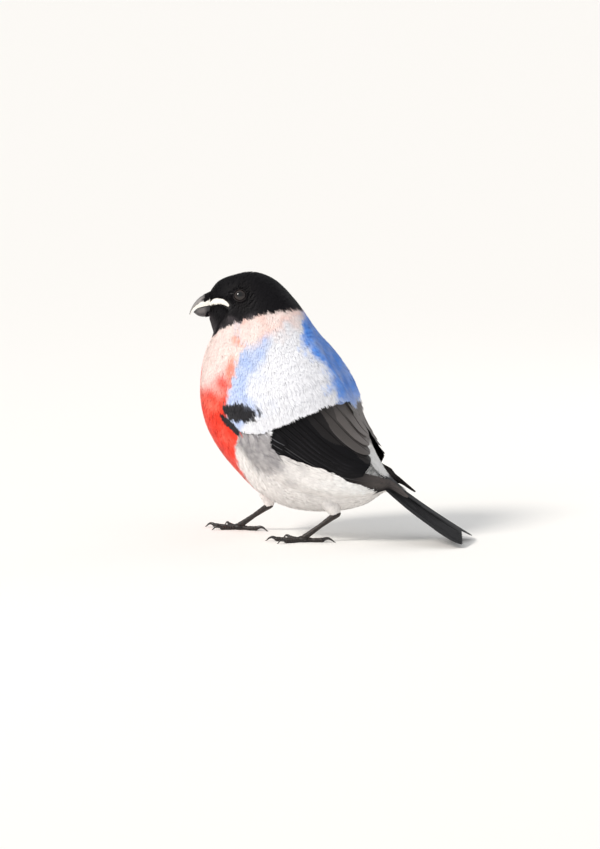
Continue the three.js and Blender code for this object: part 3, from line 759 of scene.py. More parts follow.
def growFeathers(name, pointOf, heightOf, roots, colourOf, finish=softPlumage, tLength=16.0):
    # Each root grows a fan of locks over the surface. Its patch of the bake's map lies at the root's place on
    # the surface unrolled, which is tLength rings long.
    t, phi = roots["t"][:, None], roots["phi"][:, None]
    draw = np.random.default_rng(coat["seed"] + len(t))
    ringScale, turnScale = surfaceFrame(pointOf, t, phi)[3:]
    along, aside, place = fanLocks(roots, draw)
    ring = perCorner(t) + along / perCorner(ringScale)
    turn = perCorner(phi) + aside / perCorner(turnScale)
    points = raised(pointOf, ring, turn, fanHeight(roots, place, draw) + heightOf(ring, turn))
    tips = points[:, :, 3, 1]
    points = np.concatenate([points[:, :, :3].reshape(*place.shape, 9, 3), tips[:, :, None]], 2)
    colour = colourOf(ring[:, :, 3, 1], turn[:, :, 3, 1], tips)
    colour = colour * draw.uniform(0.95, 1.05, place.shape)[..., None]
    corners = np.array([3, 3, 3, 1])
    # each lock darker towards its root: partly grey down, partly painted shade
    tint = colour[:, :, None] * np.repeat(coat["shade"], corners)[:, None]
    lockU = 0.5 * place[..., None] + np.tile([-0.5, 0, 0.5], 4)[:10] / coat["locks"]
    patchU = (phi[..., None] + 180) / 360 + coat["patch"] * lockU
    patchV = t[..., None] / tLength + coat["patch"] * np.repeat(coat["stations"], corners)
    patch = np.stack(np.broadcast_arrays(patchU, patchV), -1)
    parts = math.ceil(place.size / coat["most"])
    for part in range(parts):
        rows = slice(part * len(t) // parts, (part + 1) * len(t) // parts)
        shown = points[rows].reshape(-1, 3)
        faces = (lockFaces() + 10 * np.arange(len(shown) // 10)[:, None, None]).reshape(-1, 3)
        label = name if parts == 1 else name + "_" + "abcdefgh"[part]
        piece = makeMesh(label, shown, [faces], tint[rows].reshape(-1, 3), finish,
                         {"OFBake": patch[rows].reshape(-1, 2)}, rim=60)
        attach(piece, "root")
    print(name, len(t), "feathers", place.size * 16, "triangles in", parts)


def scatter(pointOf, tRange, pitchAt, draw, rowShare=0.8):
    # Roots in staggered rows: rows a pitch apart along the side, and feathers a pitch apart round each row.
    t = [tRange[0]]
    while t[-1] < tRange[1]:
        scale = surfaceFrame(pointOf, np.array(t[-1]), np.array(70.0))[3]
        t.append(t[-1] + rowShare * pitchAt(t[-1]) / scale)
    probe = np.linspace(-180, 180, 73)
    middles = (probe[1:] + probe[:-1]) / 2
    rings, turns = [], []
    for i, row in enumerate(t[:-1]):
        around = surfaceFrame(pointOf, np.full(72, row), middles)[4] * (probe[1] - probe[0])
        run = np.concatenate([[0], np.cumsum(around)])
        count = int(run[-1] / pitchAt(row))
        places = (np.arange(count) + 0.5 * (i % 2)) / count * run[-1]
        rings.append(np.full(count, row))
        turns.append(np.interp(places, run, probe))
    ring, turn = np.concatenate(rings), np.concatenate(turns)
    ringScale, turnScale = surfaceFrame(pointOf, ring, turn)[3:]
    jitter = 0.25 * np.interp(ring, t, [pitchAt(x) for x in t])
    ring = ring + jitter * draw.uniform(-1, 1, ring.shape) / ringScale
    turn = turn + jitter * draw.uniform(-1, 1, ring.shape) / np.maximum(turnScale, 0.01)
    return ring, turn


coatSizes = {
    # ring: pitch, length and half width of the feathers there, mm
    "ring": [0.0, 0.6, 1.5, 3.0, 4.5, 6.0, 9.0, 12.0, 14.0],
    "pitch": [0.62, 0.7, 0.85, 1.05, 1.3, 1.55, 1.75, 1.6, 1.4],
    "length": [1.0, 1.3, 1.9, 2.9, 4.2, 5.4, 6.6, 6.6, 5.0],
    "half": [0.42, 0.5, 0.68, 0.9, 1.2, 1.5, 1.8, 1.7, 1.4],
}


def coatSize(what, t):
    return np.interp(t, coatSizes["ring"], coatSizes[what])


def flankReach(t):
    # degrees from the back where the wing's feathers end and the flank's begin
    return np.where(t < 7.7, 116, overTable(flank["reach"], t))


def partRoundEyes(roots):
    # round the eyes feathers are short, part to either side and leave the lids bare
    t, phi = roots["t"], roots["phi"]
    along, aside, *_ = surfaceFrame(bodyPoint, t, phi)
    for side in sides.values():
        away = bodyPoint(t, phi) - eyePlace(side)[0]
        distance = np.linalg.norm(away, axis=-1)
        near = smooth(8.0, eye["bare"], distance)
        towards = np.clip(-(away * along).sum(-1) / np.maximum(distance, 0.1), 0, 1)
        roots["keep"] &= distance > eye["bare"]
        roots["lie"] += 62 * near * towards * np.sign((away * aside).sum(-1))
        roots["length"] *= 1 - 0.62 * near
        roots["half"] *= 1 - 0.35 * near


def fitToWing(roots, ringScale):
    # over the wing feathers are larger and stop at the line of the great coverts; under it nothing shows
    t, around, length = roots["t"], np.abs(roots["phi"]), roots["length"]
    over = (t > 6.2) & (around > 18) & (around < flankReach(t))
    room = (coverEnd(around) - t) * ringScale
    roots["length"] = np.where(over, np.minimum(length * 1.1, np.maximum(room, 0.1)), length)
    roots["keep"] &= ~(over & (room < 2.6) & (t < 8.95))
    inWing = (around < flankReach(t)) & (around > overTable(flank["wingTop"], t))
    roots["keep"] &= ~(inWing & (t > 8.1) & (t < 13.0))


def fitToFlank(roots, ringScale, turnScale):
    # on the flank feathers lie upwards, over the wing, and are short enough to stop at their line
    t, around, length = roots["t"], np.abs(roots["phi"]), roots["length"]
    onFlank = smooth(7.6, 8.5, t) * smooth(13.2, 12.2, t) * smooth(140, 112, around)
    onFlank = onFlank * (around > flankReach(t))
    roots["lie"] -= np.sign(roots["phi"]) * flank["lie"] * onFlank
    lie = np.radians(roots["lie"])
    fits = np.zeros(t.shape)
    for share in (0.35, 0.5, 0.65, 0.8, 1.0):
        tipRing = t + share * length * np.cos(lie) / ringScale
        tipAround = around - share * length * np.sin(np.abs(lie)) * (onFlank > 0) / turnScale
        fits = np.where(tipAround > overTable(flank["reach"], tipRing) - 1.5, share, fits)
    isFlank = (onFlank > 0.05) & (t > 7.7) & (t < 13.0)
    roots["keep"] &= ~isFlank | (fits > 0)
    roots["length"] = np.where(isFlank, length * np.maximum(fits, 0.35), length)
    roots["depth"] *= 1 - 0.45 * onFlank * smooth(14, 4, around - overTable(flank["wingEdge"], t))


def bodyRoots():
    # the roots over the whole body, with the length, width, depth and lie of each feather
    draw = np.random.default_rng(coat["seed"])
    t, phi = scatter(bodyPoint, (0.05, 13.6), lambda row: coatSize("pitch", row), draw)
    phi = (phi + 180) % 360 - 180
    ringScale, turnScale = surfaceFrame(bodyPoint, t, phi)[3:]
    roots = {
        "t": t, "phi": phi, "length": coatSize("length", t), "half": coatSize("half", t),
        "depth": coatDepth(t), "lie": 0 * t, "lift": 0 * t, "keep": gapeDistance(t, phi) > 1.1,
    }
    partRoundEyes(roots)
    roots["length"] *= 1 - 0.6 * smooth(2.6, 0.8, gapeDistance(t, phi))
    fitToWing(roots, ringScale)
    fitToFlank(roots, ringScale, turnScale)
    keep = roots.pop("keep")
    return {key: values[keep] for key, values in roots.items()}


def bodyCoat():
    roots = bodyRoots()
    t, around = roots["t"], np.abs(roots["phi"])
    inCap = t < overTable(edges["cap"], around) - 0.2
    isFront = ~inCap & (around > overTable(edges["breast"], t) - 4) & (t < 11)
    isBack = ~inCap & ~isFront & (t < 8.6)
    regions = {
        "coat_cap": (inCap, "black_plumage", blackPlumage),
        "coat_breast": (isFront, "rose_plumage", softPlumage),
        "coat_mantle": (isBack, "body_plumage", softPlumage),
        "coat_rear": (~inCap & ~isFront & ~isBack, "white_plumage", softPlumage),
    }
    for name, (mask, slot, finish) in regions.items():
        some = {key: values[mask] for key, values in roots.items()}
        growFeathers(name, bodyPoint, plumeHeight, some, markings, finish)


greatCovert = {
    # each row: rings from the tips to the coverts' line, feathers, half width and lift
    "rows": [(0.0, 15, 1.9, -0.15), (0.42, 15, 1.8, 0.1), (0.8, 16, 1.7, 0.2)],
    "around": (22, 112), "stagger": 2.4,  # degrees
    "length": [[22, 9.5], [100, 8.0], [112, 5.5]],  # by degrees from the back, as is their lie
    "lie": [[22, 8], [110, 3]],
    "depth": 1.3,
}


def greatCoverts():
    # the last rows over the wing: larger, firmer feathers whose tips make a toothed line
    for name, side in sides.items():
        rows = []
        for number, (shift, count, half, lift) in enumerate(greatCovert["rows"]):
            around = np.linspace(*greatCovert["around"], count) + greatCovert["stagger"] * (number > 0)
            end = coverEnd(around) - shift
            length = overTable(greatCovert["length"], around)
            scale = surfaceFrame(bodyPoint, end - 0.5, side * around)[3]
            same = np.ones(count)
            rows.append({
                "t": end - length / scale, "phi": side * around, "length": length, "half": half * same,
                "depth": greatCovert["depth"] * same, "lie": -side * overTable(greatCovert["lie"], around),
                "lift": lift * same,
            })
        roots = {key: np.concatenate([row[key] for row in rows]) for key in rows[0]}
        growFeathers("coverts_" + name, bodyPoint, coverHeight, roots, markings)


def level(ring, turn):
    # no height, for feathers that lie straight on their surface
    return 0 * ring


def thighColour(t, phi, places):
    return blend(paint["belly"], paint["flank"], 0.15 * smooth(0.3, 1.2, mottle(places, 3, 9)))


def thighCoat():
    # short soft feathers down to the ankle
    for name, side in sides.items():
        draw = np.random.default_rng(5 + side)
        pointOf = thighPoint(legs[name])
        t, phi = scatter(pointOf, (0.3, 0.95), lambda row: 1.0 - 0.3 * row, draw, rowShare=0.7)
        roots = {
            "t": t, "phi": phi, "length": np.interp(t, [0.3, 0.8, 0.95], [3.6, 2.6, 1.3]),
            "half": 0.8 + 0 * t, "depth": np.interp(t, [0.3, 0.93], [0.9, 0.45]),
            "lie": 6 * draw.normal(size=t.shape), "lift": 0.35 * draw.random(t.shape) - 0.2,
        }
        growFeathers("coat_thigh_" + name, pointOf, level, roots, thighColour, tLength=1.6)


bodyCoat()
greatCoverts()
thighCoat()


# Flight and tail feathers: firm vanes with barbs, a shaft and a rounded tip

wing = {
    "rows": [
        # root and tip of the first and of the last feather, as ring, degrees from the back and mm of height
        {"name": "primaries", "count": 8, "bow": 4, "shaft": 0.4, "shape": (0.55, 0.5, 1.8),
         "ring": [(7.0, 15.2), (7.4, 12.6)], "around": [(112, 56), (100, 50)],
         "height": [(0.9, 1.2), (0.9, 1.9)], "half": [2.0, 3.2], "tilt": [-0.8, 0.3]},
        {"name": "secondaries", "count": 7, "bow": 3, "shaft": 0.25, "shape": (0.55, 0.7, 2.2),
         "ring": [(7.2, 11.7), (7.6, 11.4)], "around": [(102, 62), (74, 40)],
         "height": [(1.1, 1.7), (1.1, 2.5)], "half": [3.3, 4.2], "tilt": [0.34, 0.34]},
        {"name": "tertials", "count": 4, "bow": 1, "shaft": 0.1, "shape": (0.4, 0.7, 2.2),
         "ring": [(7.8, 11.3), (8.0, 10.2)], "around": [(64, 36), (26, 9)],
         "height": [(1.0, 2.9), (-0.9, 3.5)], "half": [4.3, 4.6], "tilt": [0.34, 0.34]},
        {"name": "primaryCoverts", "count": 4, "bow": 2, "shaft": 0.2, "shape": (0.6, 0.72, 2.4),
         "ring": [(6.9, 9.35), (7.1, 9.0)], "around": [(108, 96), (99, 88)],
         "height": [(0.9, 1.5), (0.9, 2.0)], "half": [1.8, 2.2], "tilt": [0.1, 0.3]},
    ],
    "fallRadius": 22,
    "inward": 2.3,  # how far the inner edge comes down on the back
    "over": 0.45,  # the left wing's inner feathers over the right's
    "tuck": 3.0,  # how far the lower edge turns in, under the feathers of the flank
    "thick": 0.26,
    "cells": 4,
    "barbPitch": 0.95,  # coarser than the real 0.3 mm, so that it shows
    "barbRelief": 0.03,
    "slant": 0.12,
    "shaftRadius": 0.26,
}


def rumpLift(t, around):
    # how far the folded wing stands off the narrowing rump, less towards the middle of the back
    lift = 2.6 * smooth(9.3, 11.4, t) * (1 - 0.92 * smooth(12.2, 14.4, t))
    inner = smooth(48, 4, around)
    return lift * (1 - 0.85 * inner) - wing["inward"] * inner * smooth(8.4, 9.8, t)


def vaneWidth(u, shape):
    # shape: its share of the width at the root, full from the middle on, then where the tip's curve starts
    # and how blunt it is
    end = np.maximum(0, (u - shape[1]) / (1 - shape[1]))
    full = shape[0] + (1 - shape[0]) * np.sin(0.5 * math.pi * np.minimum(1, u / 0.5))
    return full * np.sqrt(1 - 0.95 * end ** shape[2])


def vaneMesh(surfaceAt, length, half, shaft, shape, draw):
    # Lines of the grid follow the barbs: barb s leaves the shaft at share s and slants towards the tip, so a
    # point at web place w lies at share a = s + slant w (1 - s) and across it at w times the width there.
    # Every second line is raised. The underside shares the rim, which closes the vane. surfaceAt turns shares
    # and mm across into points and outward directions.
    barbs = int(np.clip(length / wing["barbPitch"], 14, 64))
    s = np.linspace(0, 1, 2 * barbs + 1)[:, None]
    w = np.linspace(-1, 1, 2 * wing["cells"] + 1)[None]
    web = np.abs(w)
    groups = np.repeat(draw.normal(size=barbs // 6 + 2), 12)[:2 * barbs + 1][:, None]
    a = np.clip(s + wing["slant"] * web * (1 - s) + 0.012 * groups * web**2 * (1 - s) * s, 0, 1)
    reach = half * np.where(w > 0, 1 - shaft, 1 + shaft)
    across = (shaft * half + w * reach) * vaneWidth(a, shape)
    relief = wing["barbRelief"] * (np.arange(2 * barbs + 1)[:, None] % 2) * np.minimum(1, web * 3)
    top, out = surfaceAt(a, across)
    top = top + out * (relief + 0.025 * groups * web - 0.03 * half * web**2)[..., None]
    under = top - out * (wing["thick"] * (1.05 - web**2))[..., None]
    rows, columns = a.shape
    upper = np.arange(rows * columns).reshape(rows, columns)
    lower = upper.copy()
    lower[1:-1, 1:-1] = rows * columns + np.arange((rows - 2) * (columns - 2)).reshape(rows - 2, columns - 2)
    points = np.concatenate([top.reshape(-1, 3), under[1:-1, 1:-1].reshape(-1, 3)])

    def bothSides(first, second):
        values = np.stack(np.broadcast_arrays(first, second), -1)
        return np.concatenate([values.reshape(-1, 2), values[1:-1, 1:-1].reshape(-1, 2)])

    # the shaft: a tapering round rod lying on the vane
    share = np.linspace(0, 0.97, 16)
    line, up = surfaceAt(share, shaft * half * vaneWidth(share, shape))
    thick = wing["shaftRadius"] * (1 - share) ** 0.7 + 0.05
    return {
        "points": points, "faces": pointingOut(points, [gridFaces(upper), gridFaces(lower)[:, ::-1]]),
        "barbs": bothSides(s * length, w), "place": bothSides(a, across / half),
        "shaft": tubeRings(line + up * 0.03, thick, 6, hint=up.mean(0)),
    }


def joinVanes(name, node, vanes, tints):
    # all the vanes of a wing or tail as one piece, each in its own cell of the bake's map
    parts, barbMaps, patches = [], [], []
    across = math.ceil(math.sqrt(len(vanes)))
    for number, (vane, tint) in enumerate(zip(vanes, tints)):
        shaft = closedLoft(vane["shaft"], tint.mean(0) * 0.6)
        parts += [(vane["points"], vane["faces"], tint), shaft]
        onShaft = np.zeros((len(shaft[0]), 2))
        barbMaps += [vane["barbs"], onShaft]
        cell = np.array([number % across, number // across]) / across
        spread = vane["place"] * [0.92, 0.44] + [0.04, 0.5]
        patches += [spread / across + cell, onShaft + cell + 0.5 / across]
    points, faces, tint = together(parts)
    points[:, 2] = np.maximum(points[:, 2], 0.02)
    maps = {"OFBake": np.concatenate(patches), "barbs": np.concatenate(barbMaps)}
    piece = makeMesh(name, points, faces, tint, flightPlumage, maps, rim=50)
    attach(piece, "root")
    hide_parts(node)
    print(name, len(vanes), "vanes", sum(len(f) * (f.shape[1] - 2) for f in faces), "triangles")


def wingSurface(side, feather):
    # A feather's own sheet: it runs from root to tip over the body, bowed, raised to its height, tilted so
    # that its lower edge is up, and bent round the body across it.
    ring, around = feather["ring"], feather["around"]
    slope = (around[1] - around[0]) / (ring[1] - ring[0])

    def surfaceAt(share, across):
        t = between(ring, share)
        phi = between(around, share) + feather["bow"] * np.sin(math.pi * share)
        here = bodyPoint(t, side * phi)
        _, _, out, _, turnScale = surfaceFrame(bodyPoint, t, side * phi)
        ahead = unit(bodyPoint(t + 0.04, side * (phi + 0.04 * slope)) - here)
        down = unit(np.cross(out, ahead) * side)
        aside = phi + across / np.maximum(turnScale, 0.1)
        height = between(feather["height"], share) + feather["tilt"] * across / feather["half"]
        height = height - across**2 / (2 * wing["fallRadius"]) + rumpLift(t, aside)
        low = smooth(-34, -6, aside - overTable(flank["wingEdge"], t))
        height = height - wing["tuck"] * low * smooth(8.8, 10.8, t) * smooth(14.5, 12.5, t)
        return here + down * across[..., None] + out * height[..., None], out

    return surfaceAt


def wingColour(name, side, feather, place):
    # Black flight feathers with thin paler edges, tertials greyed by a painted sheen and watery grey
    # tips; the roots of the outermost rows carry the body's markings.
    share, across = place.T
    t = between(feather["ring"], share)
    phi = side * (between(feather["around"], share) + 2.4 * across * feather["half"])
    edge = 0.8 if name in ("tertials", "primaries") else 0.4
    colour = blend(paint["flight"], paint["flightEdge"], smooth(0.86, 1.0, np.abs(across)) * edge)
    if name == "primaries":
        tips = smooth(10.6, 12.8, t) * smooth(74, 56, degreesRound(phi))
        colour = blend(colour, paint["wingTip"], 0.85 * tips)
    if name == "tertials":
        # greyer on the inner tertials and towards their tips: painted sheen
        colour = blend(colour, paint["tertial"], smooth(-0.2, 0.8, feather["order"]) * (0.4 + 0.6 * share))
    if name in ("primaries", "primaryCoverts"):
        colour = blend(markings(t, phi, bodyPoint(t, phi)), colour, smooth(8.2, 8.5, t))
    return colour


def featherOf(row, order, side):
    # one feather of a row, at this share of the way from its first to its last
    feather = {
        key: between(np.array(row[key], float), order) for key in ("ring", "around", "height", "half", "tilt")
    }
    feather["height"][1] += wing["over"] * order * (side < 0)
    return {**feather, "order": order, "bow": row["bow"]}


def makeWing(name, side):
    draw = np.random.default_rng(40 + side)
    vanes, tints = [], []
    for row in wing["rows"]:
        for i in range(row["count"]):
            feather = featherOf(row, i / (row["count"] - 1), side)
            surfaceAt = wingSurface(side, feather)
            probe, _ = surfaceAt(np.linspace(0, 1, 20), np.zeros(20))
            length = np.linalg.norm(np.diff(probe, axis=0), axis=-1).sum()
            vane = vaneMesh(surfaceAt, length, feather["half"], row["shaft"], row["shape"], draw)
            vanes.append(vane)
            tints.append(wingColour(row["name"], side, feather, vane["place"]))
    joinVanes("feathers_" + name, name, vanes, tints)


for name, side in sides.items():
    makeWing("wing_" + name, side)


tail = {
    "root": [5.4, 39.6], "slope": [41.5, 29.5], "start": 22.0, "pairs": 6,
    # from the middle pair to the outermost
    "length": [61.5, 64.95], "half": [4.5, 4.1], "splay": [0.9, 5.8], "aside": [1.6, 3.4],
    "lift": [1.45, -0.35],
    "shaft": 0.22, "shape": (0.64, 0.72, 2.4),
}


def tailPoint(along, sideways, height):
    # an arc whose slope eases from the root's to the tip's, and the point this high above it
    first, last = [math.radians(a) for a in tail["slope"]]
    bend = (last - first) / tail["length"][1]
    a = first + bend * along
    x = tail["root"][0] + (np.sin(a) - math.sin(first)) / bend + height * np.sin(a)
    z = tail["root"][1] + (np.cos(a) - math.cos(first)) / bend + height * np.cos(a)
    return np.stack([x, sideways, z], -1), np.stack([np.sin(a), 0 * a, np.cos(a)], -1)


def tailSurface(side, order):
    # A tail feather's own sheet: splayed over the tail's arc, and falling towards its outer edge.
    length, splay, aside, lift = (between(tail[key], order) for key in ("length", "splay", "aside", "lift"))
    splay = math.radians(splay)

    def surfaceAt(share, across):
        along = between((tail["start"], length), share)
        height = lift * (0.5 + 0.5 * share) - 0.12 * across - 0.012 * across**2
        return tailPoint(along * math.cos(splay), side * (aside + along * math.tan(splay) + across), height)

    return surfaceAt


def makeTail():
    draw = np.random.default_rng(77)
    vanes, tints = [], []
    for side in (1, -1):
        for order in np.linspace(0, 1, tail["pairs"]):
            long, half = between(tail["length"], order) - tail["start"], between(tail["half"], order)
            vane = vaneMesh(tailSurface(side, order), long, half, tail["shaft"], tail["shape"], draw)
            edge = smooth(0.88, 1.0, np.abs(vane["place"][:, 1]))
            vanes.append(vane)
            tints.append(blend(paint["flight"], paint["flightEdge"], edge * 0.4))
    joinVanes("feathers_tail", "tail", vanes, tints)


makeTail()


# Bill: two arched sheaths of horn, with short stiff feathers lying over their roots

bill = {
    "culmen": [[-50.0, 100.3], [-53.4, 98.6], [-56.0, 95.9], [-57.4, 93.2], [-57.9, 91.4]],
    "upperEdge": [[-50.3, 95.5], [-52.9, 94.9], [-55.2, 94.0], [-56.8, 92.7], [-57.5, 91.3]],
    "upperHalf": [4.7, 4.1, 3.0, 1.6, 0.35],
    "lowerEdge": [[-50.3, 95.1], [-52.7, 94.5], [-54.8, 93.6], [-56.2, 92.4]],
    "gonys": [[-50.4, 90.6], [-52.4, 90.4], [-54.4, 90.9], [-55.9, 92.0]],
    "lowerHalf": [4.4, 3.7, 2.5, 0.5],
    "rows": 48, "columns": 40,
    "root": -0.16,  # how far the horn runs back into the head, as a share of its length
    "nostril": {"share": 0.16, "around": 48, "long": 0.1, "wide": 9, "deep": 0.55},
    # grey: a painted sheen on the black horn; pale: partly the paler horn of the cutting edge, partly a
    # painted highlight
    "dark": "#1E1C1E", "grey": "#8F8A88", "pale": "#F3EFE6", "lowerGrey": "#6B6665", "lowerDark": "#272426",
    # where the rows of bristles start, as shares of the horn's length, and how long they are
    "bristles": {"upper": ((-0.16, -0.1, -0.04, 0.02), 1.5), "lower": ((-0.12, -0.05, 0.01), 0.9)},
    "bristleRow": 34, "bristleAround": 62,
}


def mandiblePoint(edge, ridge, halves, way):
    # An arch on a flat edge: at each share from root to tip the section goes from side to side by its half
    # width times sin phi, and rises from the edge to the ridge by cos phi. way is the sign of phi at -Y.
    def pointOf(t, phi):
        t, phi = np.broadcast_arrays(np.asarray(t, float), np.radians(phi))
        rise = np.abs(np.cos(phi)) ** 0.9
        back = np.minimum(t, 0)[..., None]  # behind the root it runs straight on
        edgeLine = onPath(edge, t) + back * 3 * (np.array(edge[1]) - edge[0])
        ridgeLine = onPath(ridge, t) + back * 3 * (np.array(ridge[1]) - ridge[0])
        xz = edgeLine + (ridgeLine - edgeLine) * rise[..., None]
        y = -way * onPath(halves, t)[..., 0] * np.sin(phi)
        return headTurned(xz[..., 0], y, xz[..., 1])

    return pointOf


upperBill = mandiblePoint(bill["upperEdge"], bill["culmen"], bill["upperHalf"], 1)
lowerBill = mandiblePoint(bill["lowerEdge"], bill["gonys"], bill["lowerHalf"], -1)


def nostrilPit(share, phi):
    # 1 in the middle of either nostril and 0 outside it
    pit = bill["nostril"]
    along, across = (share - pit["share"]) / pit["long"], (np.abs(phi) - pit["around"]) / pit["wide"]
    return smooth(1, 0.3, np.hypot(along, across))


def upperTint(share, phi):
    # dark along the ridge and at the tip; grey on the sides, a painted sheen on the black horn; pale along
    # the cutting edge, partly the paler horn there and partly a painted highlight; darker in the nostrils,
    # painted shade in their openings
    rise = np.cos(np.radians(phi))
    side = smooth(0.99, 0.86, rise) * smooth(0.45, 0.62, rise)
    # the grey on the sides: a painted sheen
    grey = smooth(0.0, 0.25, share) * smooth(1.0, 0.62, share) * (0.25 + 0.75 * side)
    tint = blend(linear(bill["dark"]), linear(bill["grey"]), grey)
    # pale along the cutting edge: partly the paler horn there, partly a painted highlight
    tint = blend(tint, linear(bill["pale"]), smooth(0.5, 0.36, rise + 0.02 * np.sin(share * 40)))
    # darker in the nostrils: painted shade in their openings
    return tint * (1 - 0.9 * nostrilPit(share, phi))[..., None]


def lowerTint(share, phi):
    # dark below and at the tip, grey on the sides
    grey = smooth(0.75, 0.3, np.cos(np.radians(phi))) * smooth(0.9, 0.45, share) * smooth(0.0, 0.25, share)
    return blend(linear(bill["lowerDark"]), linear(bill["lowerGrey"]), grey)


def makeHorn(name, pointOf, tintOf, nostril):
    # One sheath: its arch with faint lines of growth, sunk at the nostrils.
    share = np.linspace(bill["root"], 1, bill["rows"])[:, None]
    phi = np.linspace(-90, 90, bill["columns"])[None]
    share, phi = np.broadcast_arrays(share, phi)
    growth = 0.02 * np.sin(share * 55 + 2 * np.sin(np.radians(phi))) * np.cos(np.radians(phi))
    rings = raised(pointOf, share, phi, growth - nostril * nostrilPit(share, phi))
    piece = makeMesh("horn_" + name, *closedLoft(rings, tintOf(share, phi)), billHorn, rim=45)
    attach(piece, "root")
    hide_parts("bill_" + name)


def bristleColour(ring, turn, places):
    return np.broadcast_to(paint["cap"], places.shape)


def makeBristles(name, pointOf):
    # stiff black feathers that lie forwards over the root of the bill and half hide the nostrils
    starts, long = bill["bristles"][name]
    draw = np.random.default_rng(61)
    row = np.linspace(-bill["bristleAround"], bill["bristleAround"], bill["bristleRow"])
    phi = np.concatenate([row + 2 * i for i in range(len(starts))])
    t = np.repeat(starts, bill["bristleRow"]) + 0.03 * draw.uniform(-1, 1, phi.shape)
    roots = {
        "t": t, "phi": phi, "length": long * draw.uniform(0.6, 1.35, t.shape), "half": 0.32 + 0 * t,
        "depth": 0.3 + 0 * t, "lie": 9 * draw.normal(size=t.shape),
        "lift": 0.18 + 0.16 * draw.random(t.shape),
    }
    growFeathers("bristles_" + name, pointOf, level, roots, bristleColour, blackPlumage, 4.0)


makeHorn("upper", upperBill, upperTint, bill["nostril"]["deep"])
makeHorn("lower", lowerBill, lowerTint, 0)
makeBristles("upper", upperBill)
makeBristles("lower", lowerBill)
print("bill made")


# Bare legs: scaled tarsus, foot, toes and claws

foot = {
    "top": 1.75,
    # share of the shank's length and its radius there, and of a toe's length and its half width
    "shank": [[-0.1, 0.9], [-0.04, 1.45], [0, 1.5], [0.08, 1.42], [0.16, 1.25], [0.5, 0.95], [0.84, 1.12],
              [1, 1.3]],
    "pads": [[0, 1.05], [0.2, 1.05], [0.42, 0.9], [0.55, 1.08], [0.78, 0.88], [0.9, 1.0], [1, 0.78]],
    "toes": [  # degrees from forwards, length, half width, length of claw
        {"turn": 180, "length": 8.2, "half": 1.0, "claw": 5.2},
        {"turn": -33, "length": 8.4, "half": 0.88, "claw": 3.9},
        {"turn": 0, "length": 12.2, "half": 0.95, "claw": 4.3},
        {"turn": 33, "length": 9.0, "half": 0.85, "claw": 3.7},
    ],
    "height": 0.78, "scutes": 8, "toeScutes": 1.05, "scuteRise": 0.09, "clawThick": (0.65, 0.1),
    "ball": (2.5, 2.1, 1.5), "ballBack": 0.4, "ballHeight": 1.1,
    "dark": "#211B19", "edge": "#463A35", "pad": "#3B312C", "claw": "#171314", "clawTip": "#2E2724",
}


def scaled(centres, radii, plates, sides=28):
    # A tube with overlapping plates on its upper side: the radius grows through each plate and drops back at
    # its end. plates counts them along the tube. Gives the rings and the tint of each point.
    rings = tubeRings(centres, radii, sides)
    angle = np.linspace(0, 2 * math.pi, sides, endpoint=False)[None]
    front = smooth(-0.35, 0.25, np.sin(angle))
    saw = (plates % 1)[:, None]
    rise = foot["scuteRise"] * (saw**0.8 * smooth(1.0, 0.86, saw)) * front
    middle = centres[:, None]
    rings = middle + (rings - middle) * (1 + rise / np.asarray(radii)[:, None])[..., None]
    tint = blend(linear(foot["dark"]), linear(foot["edge"]), 0.7 * smooth(0.6, 0.9, saw) * front)
    tint = blend(tint, linear(foot["pad"]), smooth(-0.3, -0.8, np.sin(angle)) * np.ones_like(saw))
    return rings, tint


def onFloor(rings):
    # nothing reaches under the floor
    rings[..., 2] = np.maximum(rings[..., 2], 0.0)
    return rings


def toePath(leg, toe, along, height):
    # points this far along a toe's line and above the floor
    heading = math.radians(180 - leg["side"] * (leg["yaw"] + toe["turn"]))
    forward = np.array([math.cos(heading), math.sin(heading), 0])
    return np.array([*leg["foot"], 0.0]) + forward * along[:, None] + np.array([0, 0, 1]) * height[:, None]


def makeToe(leg, toe):
    # a tube that swells at its pads, is rounded at its end and rises to the foot
    u = np.linspace(0, 1.0, 96)
    rounded = np.minimum(1, np.sqrt(np.maximum(1.02 - u, 0) / 0.06))
    height = foot["height"] + 0.14 * np.sin(9 * u) + 0.7 * smooth(0.25, 0.0, u)
    along = u * toe["length"]
    rings, tint = scaled(toePath(leg, toe, along, height), overTable(foot["pads"], u) * toe["half"] * rounded,
                         along / foot["toeScutes"], 24)
    return closedLoft(onFloor(rings), tint)


def makeClaw(leg, toe):
    # a tapering hook that arches up from the toe and comes down at its tip
    u = np.linspace(0, 1, 40)
    height = foot["height"] + 0.35 + 0.9 * np.sin(math.pi * np.minimum(1, u * 1.12)) - 0.95 * u
    path = toePath(leg, toe, toe["length"] - 0.5 + toe["claw"] * u, height)
    rings = tubeRings(path, between(foot["clawThick"], u**1.1) * toe["half"], 16, flatten=1.25)
    return closedLoft(onFloor(rings), blend(linear(foot["claw"]), linear(foot["clawTip"]), u[:, None]))


def footBall(leg):
    # a flattened ball where the toes meet
    polar = np.linspace(0.05, math.pi - 0.05, 24)[:, None]
    turn = np.linspace(0, 2 * math.pi, 32, endpoint=False)[None]
    ball = np.stack(np.broadcast_arrays(np.sin(polar) * np.cos(turn), np.sin(polar) * np.sin(turn),
                                        np.cos(polar)), -1) * foot["ball"]
    middle = np.array([leg["foot"][0] - foot["ballBack"], leg["foot"][1], foot["ballHeight"]])
    return closedLoft(onFloor(ball + middle), linear(foot["dark"]))


def makeShank(leg):
    # the scaled leg from the ankle down to the foot
    ankle, top = np.array(leg["ankle"], float), np.array([*leg["foot"], foot["top"]])
    share = np.linspace(-0.1, 1, 110)
    rings, tint = scaled(ankle + (top - ankle) * share[:, None], overTable(foot["shank"], share),
                         share * foot["scutes"])
    return closedLoft(rings, tint)


